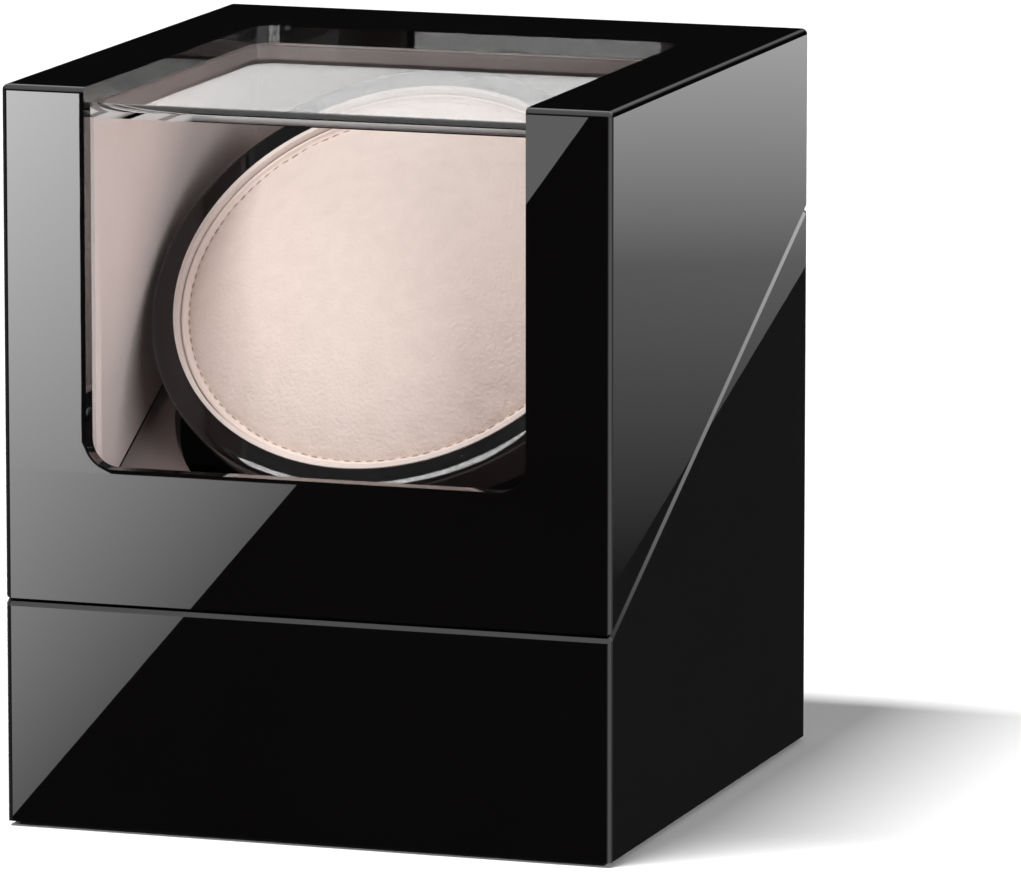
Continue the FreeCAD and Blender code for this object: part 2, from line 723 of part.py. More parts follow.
def make_pane():
    """One clear sheet, bent to an L, that closes the window from inside."""
    body = new_body("window_pane")
    low, back = "geo.window_sill - dims.pane_lap", "geo.window_back + dims.pane_lap"
    sheet = pad(body, "YZ_Plane", [("geo.pane_front", low), ("-geo.inner_half_depth", low),
                                   ("-geo.inner_half_depth", "geo.ceiling"), (back, "geo.ceiling"),
                                   (back, "geo.pane_top"), ("geo.pane_front", "geo.pane_top")],
                "2 * (geo.window_half + dims.pane_lap)", symmetric=True)
    bend_y, bend_z = value("geo.pane_front"), value("geo.pane_top")
    dress(body, "Fillet", sheet, "dims.pane_bend",
          lambda edge: all(abs(p.Y - bend_y) < NEAR and abs(p.Z - bend_z) < NEAR for p in edge.Vertexes))
    node("window_pane", body)


def make_linings():
    """The flannel-covered boards inside the lid. The front and top ones frame the window."""
    half_x, half_y = "geo.inner_half_width", "geo.inner_half_depth"
    side, inset = "geo.window_half", "dims.seam / 2 + dims.lining_inset"
    sill = "geo.window_sill - dims.lining_sill_drop"
    front_inner, back_inner = f"dims.lining - {half_y}", f"{half_y} - dims.lining"

    top = new_body("lid_top_lining")
    pad(top, "XY_Plane", [(f"-{half_x}", f"-{half_y}"), (f"-{side}", f"-{half_y}"),
                          (f"-{side}", "geo.window_back"), (side, "geo.window_back"), (side, f"-{half_y}"),
                          (half_x, f"-{half_y}"), (half_x, half_y), (f"-{half_x}", half_y)],
        "dims.lining", "geo.lining_top")
    node("lid_top_lining", top)

    front = new_body("lid_front_lining")
    low = rim_z(front_inner, inset)
    pad(front, "XZ_Plane", [(f"-{half_x}", low), (half_x, low), (half_x, "geo.lining_top"),
                            (side, "geo.lining_top"), (side, sill), (f"-{side}", sill),
                            (f"-{side}", "geo.lining_top"),
                            (f"-{half_x}", "geo.lining_top")],
        "dims.lining", f"{half_y} - dims.lining")
    node("lid_front_lining", front)

    profile = [(front_inner, rim_z(front_inner, inset)), (back_inner, rim_z(back_inner, inset)),
               (back_inner, "geo.lining_top"), (front_inner, "geo.lining_top")]
    boards = []
    for name, offset in (("left_lining", f"-{half_x}"), ("right_lining", f"{half_x} - dims.lining")):
        board = new_body(name)
        pad(board, "YZ_Plane", profile, "dims.lining", offset)
        boards.append(board)
    group("lid_side_linings", boards)
    node("lid_back_lining", box("lid_back_lining", (f"-{half_x}", back_inner, rim_z(half_y, inset)),
                                (half_x, half_y, "geo.lining_top")))


# The hinges.
def make_hinges():
    """Two butt hinges, let into the rims at the back, with their pins and screws."""
    play = "dims.hinge_play"
    sets = {"base": [], "lid": []}
    pins = []
    for index, x in enumerate(HINGE_PLACES):
        middle = "dims.hinge_knuckle / 2"
        end = "dims.hinge_length / 2"
        before, after = f"-{end} - {OVERCUT}", f"{end} + {OVERCUT}"
        spans = {"base": [(f"-{end}", f"-{middle}"), (middle, end)],
                 "lid": [(f"-{middle} + {play}", f"{middle} - {play}")]}
        gaps = {"base": [(f"-{middle} - {play}", f"{middle} + {play}")],
                "lid": [(before, f"-{middle} + {play}"), (f"{middle} - {play}", after)]}
        for part in ("base", "lid"):
            plate = leaf_block(f"{part}_leaf_{index}", part == "lid", x)
            barrels = [barrel(f"{part}_knuckle_{index}{i}", "dims.barrel_diameter / 2", a, b, x)
                       for i, (a, b) in enumerate(spans[part])]
            clear = [barrel(f"{part}_relief_{index}{i}", f"dims.barrel_diameter / 2 + {play}", a, b, x)
                     for i, (a, b) in enumerate(gaps[part])]
            bore = "dims.hinge_pin_diameter / 2 + dims.running_clearance"
            clear.append(barrel(f"{part}_bore_{index}", bore, before, after, x))
            clear += leaf_screws(f"{part}_leaf_hole_{index}", part == "lid", "dims.screw_clearance", (x,))
            blank = fuse(f"{part}_leaf_join_{index}", [plate] + barrels)
            sets[part].append(cut(f"{part}_leaf_cut_{index}", blank, clear))
        pins.append(barrel(f"pin_{index}", "dims.hinge_pin_diameter / 2", f"-{end}", end, x))
    group("hinge_base_leaves", sets["base"])
    group("hinge_lid_leaves", sets["lid"])
    group("hinge_pins", pins)
    group("hinge_base_screws", leaf_screws("base_leaf_screw", False))
    group("hinge_lid_screws", leaf_screws("lid_leaf_screw", True))


def barrel(name, radius, start, end, x):
    """A cylinder along a hinge's pin between two places on it."""
    shape = doc.addObject("Part::Cylinder", name)
    bind(shape, Radius=radius, Height=f"({end}) - ({start})")
    return place(shape, f"{x} + ({start})", "geo.hinge_y", "geo.hinge_z", "90", V(0, 1, 0))


# The turning cup and what it holds.
def make_cup():
    """The moulded cup, its flannel liner and the round, crowned pillow."""
    bore, taper, heel = "geo.cup_bore", "dims.cup_taper", "dims.cup_heel"
    outer, shaft = "geo.cup_radius", "dims.shaft_diameter / 2"
    boss, hub = "dims.cup_boss_diameter / 2", "dims.hub_diameter / 2"
    heel_z = f"-(geo.cup_inside - {heel})"
    body = new_body("cup")
    turned = revolve(body, [
        (shaft, "-geo.hub_end"), (hub, "-geo.hub_end"), (hub, "-dims.cup_depth"),
        (f"{outer} - {taper} - {heel}", "-dims.cup_depth"),
        (f"{outer} - {taper}", f"{heel_z} - dims.cup_floor / 2"), (outer, "0"), (bore, "0"),
        (f"{bore} - {taper}", heel_z), (f"{bore} - {taper} - {heel}", "-geo.cup_inside"),
        (boss, "-geo.cup_inside"), (boss, "-geo.boss_top"), (shaft, "-geo.boss_top")])
    dress(body, "Fillet", turned, "dims.cup_rim_round", rings_at(outer, "0"))
    node("cup", on_axis(body))

    thick, proud = "dims.liner_thickness", "dims.liner_proud"
    liner = new_body("cup_liner")
    revolve(liner, [(bore, proud), (f"{bore} - {thick}", proud), (f"{bore} - {taper} - {thick}", heel_z),
                    (f"{bore} - {taper} - {heel} - {thick} / 2", f"-geo.cup_inside + {thick}"),
                    (f"{boss} + dims.pillow_clearance", f"-geo.cup_inside + {thick}"),
                    (f"{boss} + dims.pillow_clearance", "-geo.cup_inside"),
                    (f"{bore} - {taper} - {heel}", "-geo.cup_inside"), (f"{bore} - {taper}", heel_z),
                    (bore, "0")])
    node("cup_liner", on_axis(liner))

    edge, drop_z, crown = "geo.pillow_radius", "-dims.pillow_edge_drop", "dims.pillow_crown"
    pillow = new_body("pillow")
    cushion = revolve(pillow, [("0", "-dims.pillow_depth"),
                               (f"{edge} - dims.pillow_draw", "-dims.pillow_depth"),
                               (edge, drop_z, f"({edge} * {edge} + {crown} * {crown}) / (2 * {crown})"),
                               ("0", f"{drop_z} + {crown}")])
    on_rim, on_foot = rings_at(edge, drop_z), lies_at("-dims.pillow_depth")
    dress(pillow, "Fillet", cushion, "dims.pillow_edge_round", lambda edge: on_rim(edge) or on_foot(edge))
    node("pillow", on_axis(pillow))


def washer(label, bore, outer, top, end):
    """A plain washer on the cup's axis between two depths."""
    body = new_body(label)
    revolve(body, [(bore, f"-({end})"), (outer, f"-({end})"), (outer, f"-({top})"), (bore, f"-({top})")])
    node(label, on_axis(body))


def make_shaft():
    """The steel shaft, the screw and washer that hold the cup on it, and the clip below its bush."""
    radius, groove = "dims.shaft_diameter / 2", "dims.shaft_diameter / 2 - dims.clip_groove"
    hole = "dims.hub_screw_diameter / 2"
    clip_end = "geo.clip_top + dims.clip_thickness"
    thread_end = "(geo.boss_top + dims.hub_screw_length - dims.thrust_thickness)"
    body = new_body("rotor_shaft")
    revolve(body, [("0", "-geo.shaft_end"), (radius, "-geo.shaft_end"), (radius, f"-({clip_end})"),
                   (groove, f"-({clip_end})"), (groove, "-geo.clip_top"), (radius, "-geo.clip_top"),
                   (radius, "-geo.boss_top"), (hole, "-geo.boss_top"), (hole, f"-{thread_end}"),
                   ("0", f"-{thread_end}")])
    node("rotor_shaft", on_axis(body))
    top = "geo.boss_top - dims.thrust_thickness"
    washer("hub_washer", f"{hole} + dims.running_clearance", "dims.hub_washer_diameter / 2", top,
           "geo.boss_top")
    hub_screw = screw("hub_screw", "dims.hub_screw_diameter", "dims.hub_screw_head",
                      "dims.hub_screw_length", False)
    node("hub_screw", place(hub_screw, "0", *axis_point(top, "0"), "dims.cup_tilt"))
    washer("thrust_washer", f"{radius} + dims.running_clearance", "dims.bush_flange_diameter / 2",
           "geo.gear_hub_end", "geo.bush_top")
    washer("clip_washer", f"{radius} + dims.running_clearance", "dims.bush_flange_diameter / 2",
           "geo.bush_end + dims.running_clearance", "geo.clip_top")
    ring = cylinder("clip_ring", "dims.clip_diameter / 2", "0", "dims.clip_thickness")
    under, over = f"-{OVERCUT}", f"dims.clip_thickness + {OVERCUT}"
    mouth = box("clip_mouth", ("-dims.clip_mouth / 2", "0", under),
                ("dims.clip_mouth / 2", "dims.clip_diameter", over))
    clip = cut("shaft_clip", ring, [cylinder("clip_hole", groove, under, over), mouth])
    node("shaft_clip", place(clip, "0", *axis_point(clip_end, "0"), "dims.cup_tilt"))


def toothed(body, pitch, teeth, start, end, turn):
    """Add a ring of straight-flanked teeth to a turned blank."""
    unit = "dims.gear_module"
    rows = ((f"{pitch} - {TOOTH_ROOT} * {unit}", f"{FOOT_HALF} * {unit}"),
            (f"{pitch} - {DEDENDUM} * {unit}", f"{FOOT_HALF} * {unit}"),
            (pitch, f"{PITCH_HALF} * {unit}"), (f"{pitch} + {ADDENDUM} * {unit}", f"{TIP_HALF} * {unit}"))
    left = [(f"-{half}", radius) for radius, half in rows]
    right = [(half, radius) for radius, half in rows]
    tooth = pad(body, "XY_Plane", right + left[::-1], f"({end}) - ({start})", f"-({end})")
    tooth.Profile[0].setExpression("AttachmentOffset.Rotation.Angle", turn)
    return repeat_round(body, tooth, teeth)


def make_gears():
    """The gear on the cup's shaft, and the pinion on the gearbox's output shaft that drives it."""
    shaft, unit = "dims.shaft_diameter / 2", "dims.gear_module"
    root, rim = f"geo.gear_pitch - {DEDENDUM} * {unit}", f"geo.gear_pitch - {GEAR_RIM} * {unit}"
    hub = "dims.gear_hub_diameter / 2"
    web_top = "geo.hub_end + (dims.gear_width - dims.gear_web) / 2"
    web_end = "geo.gear_end - (dims.gear_width - dims.gear_web) / 2"
    gear = new_body("driven_gear")
    revolve(gear, [(shaft, "-geo.gear_hub_end"), (hub, "-geo.gear_hub_end"), (hub, f"-({web_end})"),
                   (rim, f"-({web_end})"), (rim, "-geo.gear_end"), (root, "-geo.gear_end"),
                   (root, "-geo.hub_end"), (rim, "-geo.hub_end"), (rim, f"-({web_top})"),
                   (hub, f"-({web_top})"), (hub, "-geo.hub_end"), (shaft, "-geo.hub_end")])
    toothed(gear, "geo.gear_pitch", "dims.gear_teeth", "geo.hub_end", "geo.gear_end", "0")
    node("driven_gear", on_axis(gear))

    output = "dims.output_diameter / 2"
    root = f"geo.pinion_pitch - {DEDENDUM} * {unit}"
    pinion = new_body("motor_pinion")
    revolve(pinion, [(output, "-geo.gear_end"), (root, "-geo.gear_end"), (root, "-geo.hub_end"),
                     (output, "-geo.hub_end")])
    toothed(pinion, "geo.pinion_pitch", "dims.pinion_teeth", "geo.hub_end", "geo.gear_end",
            "180 / dims.pinion_teeth")
    node("motor_pinion", on_axis(pinion, "geo.motor_place"))
    rod = new_body("output_shaft")
    rod_end = "-(geo.plate_end + dims.output_socket)"
    revolve(rod, [("0", rod_end), (output, rod_end), (output, "-geo.hub_end"), ("0", "-geo.hub_end")])
    node("output_shaft", on_axis(rod, "geo.motor_place"))


# The fixed side of the drive.
def cradle_reach():
    """The Y of the cradle's front and back edges on the floor."""
    front = axis_point("geo.plate_end", "-dims.cradle_lower_reach")[0]
    back = axis_point("geo.plate_end", "dims.cradle_upper_reach")[0]
    return f"({front})", f"({back} + dims.cradle_heel)"


def motor_screws(name, grow="0"):
    """The screws through the cradle's plate into the gearbox, or the room that they need."""
    made = []
    for index, side in enumerate((-1, 1)):
        one = screw(f"{name}_{index}", "dims.small_screw_diameter", "dims.small_screw_head",
                    "dims.small_screw_length", False, grow)
        made.append(place(one, f"{side} * dims.motor_screw_spacing / 2",
                          *axis_point("geo.plate_top", "geo.motor_place"), "dims.cup_tilt"))
    return made


def make_cradle():
    """The moulded bracket: a plate square to the cup's axis on two cheeks with screw-down feet."""
    front, back = cradle_reach()
    middle = "geo.plate_top + dims.cradle_plate / 2"
    upper, lower = "dims.cradle_upper_reach", "-dims.cradle_lower_reach"
    plate = box("cradle_plate", ("-geo.cradle_half", lower, "-geo.plate_end"),
                ("geo.cradle_half", upper, "-geo.plate_top"))
    plate_low = axis_point("geo.plate_end", lower)
    place(plate, "-geo.cradle_half", *plate_low, "dims.cup_tilt")
    shapes = [plate]
    top_front, top_back = axis_point(middle, lower), axis_point(middle, upper)
    profile = [(front, "geo.floor_z"), (back, "geo.floor_z"), top_back, top_front, (front, plate_low[1])]
    for name, side in (("left", "-geo.cradle_half"), ("right", "geo.cradle_half - dims.cradle_wall")):
        cheek = new_body(f"cradle_{name}_cheek")
        pad(cheek, "YZ_Plane", profile, "dims.cradle_wall", side)
        shapes.append(cheek)
    foot_top = "geo.floor_z + dims.cradle_foot_thickness"
    inner, outer = "geo.cradle_half - dims.cradle_wall", "geo.cradle_half + dims.cradle_foot"
    for name, low, high in (("left", f"-({outer})", f"-({inner})"), ("right", inner, outer)):
        shapes.append(box(f"cradle_{name}_foot", (low, front, "geo.floor_z"), (high, back, foot_top)))
    boss = cylinder("cradle_boss", "dims.cradle_boss_diameter / 2", "0", "geo.bush_end - geo.plate_top")
    shapes.append(place(boss, "0", *axis_point("geo.bush_end", "0"), "dims.cup_tilt"))
    bore = cylinder("cradle_bore", "dims.bush_diameter / 2", "0",
                    f"geo.bush_end - geo.plate_top + 2 * {OVERCUT}")
    place(bore, "0", *axis_point(f"geo.bush_end + {OVERCUT}", "0"), "dims.cup_tilt")
    window = cylinder("cradle_output_hole", "dims.output_hole_diameter / 2", "0",
                      f"dims.cradle_plate + 2 * {OVERCUT}")
    place(window, "0", *axis_point(f"geo.plate_end + {OVERCUT}", "geo.motor_place"), "dims.cup_tilt")
    tools = [bore, window] + motor_screws("motor_screw_room", "dims.screw_clearance")
    tools += cradle_screws("cradle_screw_room", "dims.screw_clearance")
    node("motor_cradle", cut("motor_cradle", fuse("cradle_moulding", shapes), tools))
    group("cradle_screws", cradle_screws("cradle_screw"))

    shaft = "dims.shaft_diameter / 2 + dims.running_clearance"
    flange, sleeve = "dims.bush_flange_diameter / 2", "dims.bush_diameter / 2"
    bush = new_body("shaft_bush")
    revolve(bush, [(shaft, "-geo.bush_end"), (sleeve, "-geo.bush_end"), (sleeve, "-geo.plate_top"),
                   (flange, "-geo.plate_top"), (flange, "-geo.bush_top"), (shaft, "-geo.bush_top")])
    node("shaft_bush", on_axis(bush))


def make_motor():
    """The gearbox, the motor can behind it and its end cap with two terminals."""
    case, can = "dims.gearbox_diameter / 2", "dims.motor_diameter / 2"
    hole = "dims.output_diameter / 2 + dims.running_clearance"
    socket_end = "geo.plate_end + dims.output_socket + dims.running_clearance"
    body = new_body("gearbox_case")
    revolve(body, [("0", "-geo.gearbox_end"), (case, "-geo.gearbox_end"), (case, "-geo.plate_end"),
                   (hole, "-geo.plate_end"), (hole, f"-({socket_end})"), ("0", f"-({socket_end})")])
    on_axis(body, "geo.motor_place")
    node("gearbox", cut("gearbox", body, motor_screws("gearbox_screw_room", "dims.screw_clearance")))
    group("motor_screws", motor_screws("motor_screw"))
    shell = new_body("motor_can")
    turned = revolve(shell, [("0", "-geo.motor_end"), (can, "-geo.motor_end"), (can, "-geo.gearbox_end"),
                             ("0", "-geo.gearbox_end")])
    dress(shell, "Fillet", turned, "dims.corner_round", rings_at(can, "-geo.motor_end"))
    node("motor_can", on_axis(shell, "geo.motor_place"))
    cap_end = "geo.motor_end + dims.motor_cap_thickness"
    disc = cylinder("cap_disc", "dims.motor_cap_diameter / 2", f"-({cap_end})", "-geo.motor_end")
    tabs = []
    for index, side in enumerate((-1, 1)):
        left = f"{side} * dims.terminal_spacing / 2 - dims.terminal_width / 2"
        low = (left, "-dims.terminal_thickness / 2", f"-({cap_end} + dims.terminal_length)")
        high = (f"{left} + dims.terminal_width", "dims.terminal_thickness / 2", f"-({cap_end})")
        tabs.append(box(f"cap_tab_{index}", low, high))
    node("motor_cap", on_axis(fuse("motor_cap", [disc] + tabs), "geo.motor_place"))


# The control panel in the back wall.
def panel_screws(name, grow="0"):
    """The two screws that hold the panel to the back wall, or the room that they need."""
    made = []
    for index, side in enumerate((-1, 1)):
        one = screw(f"{name}_{index}", "dims.small_screw_diameter", "dims.small_screw_head",
                    "dims.small_screw_length", False, grow)
        made.append(place(one, f"{side} * (dims.well_width + dims.panel_margin) / 2",
                          "geo.half_depth + dims.panel_thickness", "geo.panel_height", "-90"))
    return made


def from_back(thing, x, y):
    """Place an object drawn along Z so that its Z points out of the back of the case."""
    return place(thing, x, y, "geo.panel_height", "-90")


def make_panel():
    """The moulded panel with its sunk well."""
    half_x, half_z = "dims.well_width / 2", "dims.well_rise / 2"
    wall, margin = "dims.well_wall", "dims.panel_margin"
    face = "geo.half_depth + dims.panel_thickness"

    def level_box(name, reach_x, reach_z, near, far):
        """A box about the panel's middle."""
        return box(name, (f"-({reach_x})", near, f"geo.panel_height - ({reach_z})"),
                   (reach_x, far, f"geo.panel_height + {reach_z}"))

    flange = level_box("panel_flange", f"{half_x} + {margin}", f"{half_z} + {margin} / 2",
                       "geo.half_depth", face)
    tub = level_box("panel_tub", half_x, half_z, f"geo.well_floor - {wall}", face)
    well = level_box("panel_well", f"{half_x} - {wall}", f"{half_z} - {wall}", "geo.well_floor",
                     f"{face} + {OVERCUT}")
    behind, before = f"geo.well_floor - {wall} - {OVERCUT}", f"geo.well_floor + {OVERCUT}"
    switch_hole = cylinder("panel_switch_hole", "dims.switch_bush_diameter / 2 + dims.screw_clearance", "0",
                           f"{wall} + 2 * {OVERCUT}")
    from_back(switch_hole, "-dims.switch_place", behind)
    gap = "dims.panel_clearance"
    socket_x, socket_z = f"dims.socket_width / 2 + {gap}", f"dims.socket_rise / 2 + {gap}"
    socket_hole = box("panel_socket_hole", (f"dims.switch_place - ({socket_x})", behind,
                                            f"geo.panel_height - ({socket_z})"),
                      (f"dims.switch_place + {socket_x}", before, f"geo.panel_height + {socket_z}"))
    tools = [well, switch_hole, socket_hole] + panel_screws("panel_hole", "dims.screw_clearance")
    node("control_panel", cut("control_panel", fuse("panel_moulding", [flange, tub]), tools))
    group("panel_screws", panel_screws("panel_screw"))


def make_controls():
    """The circuit board with the mode switch and the power socket, and the knob on the switch's spindle."""
    front = "geo.board_back - dims.board_thickness"
    half_x, half_z = "dims.board_width / 2", "dims.board_rise / 2"
    node("control_board", box("control_board", (f"-{half_x}", front, f"geo.panel_height - {half_z}"),
                              (half_x, "geo.board_back", f"geo.panel_height + {half_z}")))

    half = "dims.switch_side / 2"
    spindle, bush = "dims.spindle_diameter / 2", "dims.switch_bush_diameter / 2"
    low = (f"-dims.switch_place - {half}", "geo.board_back", f"geo.panel_height - {half}")
    high = (f"{half} - dims.switch_place", "geo.well_floor - dims.well_wall", f"geo.panel_height + {half}")
    housing = box("switch_housing", low, high)
    inside = "geo.board_back + dims.switch_back"
    neck = cylinder("switch_neck", bush, "0", f"geo.bush_tip - ({inside})")
    from_back(neck, "-dims.switch_place", inside)
    bore = cylinder("switch_bore", f"{spindle} + dims.running_clearance", "0",
                    f"geo.bush_tip - ({inside}) + {OVERCUT}")
    from_back(bore, "-dims.switch_place", inside)
    node("mode_switch", cut("mode_switch", fuse("switch_moulding", [housing, neck]), [bore]))

    nut = doc.addObject("Part::Prism", "nut_hex")
    nut.Polygon = 6
    bind(nut, Circumradius="dims.nut_across / 2 / cos(30 deg)", Height="dims.nut_thickness")
    hole = cylinder("nut_hole", f"{bush} + dims.screw_clearance", f"-{OVERCUT}",
                    f"dims.nut_thickness + {OVERCUT}")
    node("switch_nut", from_back(cut("switch_nut", nut, [hole]), "-dims.switch_place", "geo.well_floor"))

    rod_start = f"{inside} + dims.spindle_play"
    rod = cylinder("switch_spindle", spindle, "0", f"geo.knob_foot + dims.knob_socket - ({rod_start})")
    node("switch_spindle", from_back(rod, "-dims.switch_place", rod_start))

    radius, tall, deep = "dims.knob_diameter / 2", "dims.knob_height", "dims.knob_socket"
    tip = f"{radius} - dims.knob_taper"
    knob = new_body("mode_knob")
    turned = revolve(knob, [(spindle, "0"), (radius, "0"), (tip, tall), ("0", tall), ("0", deep),
                            (spindle, deep)])
    dress(knob, "Fillet", turned, "dims.knob_flute_diameter / 2", rings_at(tip, tall))
    notch = "dims.knob_flute_diameter / 2"
    near, far = f"{radius} - {notch} / 2", f"{radius} + {notch}"
    groove = [(f"-{notch}", near), (notch, near), (notch, far), (f"-{notch}", far)]
    flute = pocket(knob, "XY_Plane", groove, tall, "dims.knob_flute_length")
    repeat_round(knob, flute, "dims.knob_flutes")
    node("mode_knob", from_back(knob, "-dims.switch_place", "geo.knob_foot"))

    half_x, half_z = "dims.socket_width / 2", "dims.socket_rise / 2"
    end = "geo.board_back + dims.socket_length"
    low = (f"dims.switch_place - {half_x}", "geo.board_back", f"geo.panel_height - {half_z}")
    high = (f"dims.switch_place + {half_x}", end, f"geo.panel_height + {half_z}")
    shell = box("socket_shell", low, high)
    mouth = cylinder("socket_mouth", "dims.socket_bore / 2", "0", "dims.socket_length")
    from_back(mouth, "dims.switch_place", "geo.board_back + dims.socket_back")
    pin = cylinder("socket_pin", "dims.socket_pin / 2", "0", "dims.socket_length - dims.socket_pin_recess")
    from_back(pin, "dims.switch_place", "geo.board_back")
    node("dc_socket", fuse("dc_socket", [cut("socket_hollow", shell, [mouth]), pin]))


def check_and_write():
    """Stop on any failed object or bad shape, then write one file for each sub-part."""
    doc.recompute()
    failed = [item.Label for item in doc.Objects if "Invalid" in item.State or "Error" in item.State]
    if failed:
        raise RuntimeError(f"failed objects: {failed}")
    for label, item in nodes.items():
        if item.Shape.isNull() or not item.Shape.isValid() or not item.Shape.Solids:
            raise RuntimeError(f"bad shape: {label}")
    os.makedirs("parts", exist_ok=True)
    for label, item in nodes.items():
        item.Shape.exportStep(f"parts/{label}.step")
    print(len(nodes), "sub-parts")


make_base_shell()
make_bottom()
make_deck()
make_lid_shell()
make_pane()
make_linings()
make_hinges()
make_cup()
make_shaft()
make_gears()
make_cradle()
make_motor()
make_panel()
make_controls()
check_and_write()
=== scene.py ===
"""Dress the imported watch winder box: its finishes, a sewn pillow, small fittings and a studio."""
import json
import logging
from dataclasses import dataclass
from enum import Enum
from functools import cache
from math import atan2, cos, degrees, exp, pi, radians, sin

import bmesh
import bpy
from bpy.types import ID, Material, Mesh, Node, NodeSocket, NodeTree, Object
from mathutils import Matrix, Vector
from mathutils.bvhtree import BVHTree


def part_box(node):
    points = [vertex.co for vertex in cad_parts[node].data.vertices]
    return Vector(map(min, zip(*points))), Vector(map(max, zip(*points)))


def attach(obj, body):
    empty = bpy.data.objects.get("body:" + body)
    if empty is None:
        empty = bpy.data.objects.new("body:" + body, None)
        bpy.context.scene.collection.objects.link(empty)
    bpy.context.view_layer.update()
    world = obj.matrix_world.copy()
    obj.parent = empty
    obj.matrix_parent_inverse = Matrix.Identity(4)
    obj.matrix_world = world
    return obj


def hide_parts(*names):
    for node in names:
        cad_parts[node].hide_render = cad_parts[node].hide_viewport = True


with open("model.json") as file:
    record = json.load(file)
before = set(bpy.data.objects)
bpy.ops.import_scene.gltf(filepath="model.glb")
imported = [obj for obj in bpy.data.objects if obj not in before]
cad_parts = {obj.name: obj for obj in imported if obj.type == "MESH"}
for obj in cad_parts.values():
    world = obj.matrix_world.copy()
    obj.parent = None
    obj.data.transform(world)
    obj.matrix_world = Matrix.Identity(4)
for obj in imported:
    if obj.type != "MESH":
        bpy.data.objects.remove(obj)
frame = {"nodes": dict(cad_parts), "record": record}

MM = 0.001
LOG = logging.getLogger("winder_box")
PLASTIC_INDEX = 1.5
Z_TO_BACK = Matrix.Rotation(-pi / 2, 4, "X")
Colour = Triple = tuple[float, float, float]
Pair = tuple[float, float]
Profile = list[Pair]
Faces = list[tuple[int, ...]]


class Body(Enum):
    """The moving bodies that the added pieces ride on."""

    BASE = "base"
    CUP = "cup"
    KNOB = "knob"


class Face(Enum):
    """A face or edge of the case that mirrors a card, as its outward normal."""

    FRONT = (0.0, -1.0, 0.0)
    RIGHT = (1.0, 0.0, 0.0)
    RIGHT_SEAM = (0.707, -0.32, 0.631)


@dataclass(frozen=True)
class Signal:
    """One output socket of a node tree. Sums and products of signals add Math nodes."""

    sheet: "NodeSheet"
    socket: NodeSocket

    def __add__(self, other: "Signal | float") -> "Signal":
        """This plus another."""
        return self.sheet.maths("ADD", self, other)

    __radd__ = __add__

    def __sub__(self, other: "Signal | float") -> "Signal":
        """This minus another."""
        return self.sheet.maths("SUBTRACT", self, other)

    def __rsub__(self, other: "Signal | float") -> "Signal":
        """Another minus this."""
        return self.sheet.maths("SUBTRACT", other, self)

    def __mul__(self, other: "Signal | float") -> "Signal":
        """This times another."""
        return self.sheet.maths("MULTIPLY", self, other)

    __rmul__ = __mul__

    def at_least(self, other: "Signal | float") -> "Signal":
        """The larger of this and another."""
        return self.sheet.maths("MAXIMUM", self, other)

    def above(self, level: float) -> "Signal":
        """One where this is over a level, otherwise zero."""
        return self.sheet.maths("GREATER_THAN", self, level)


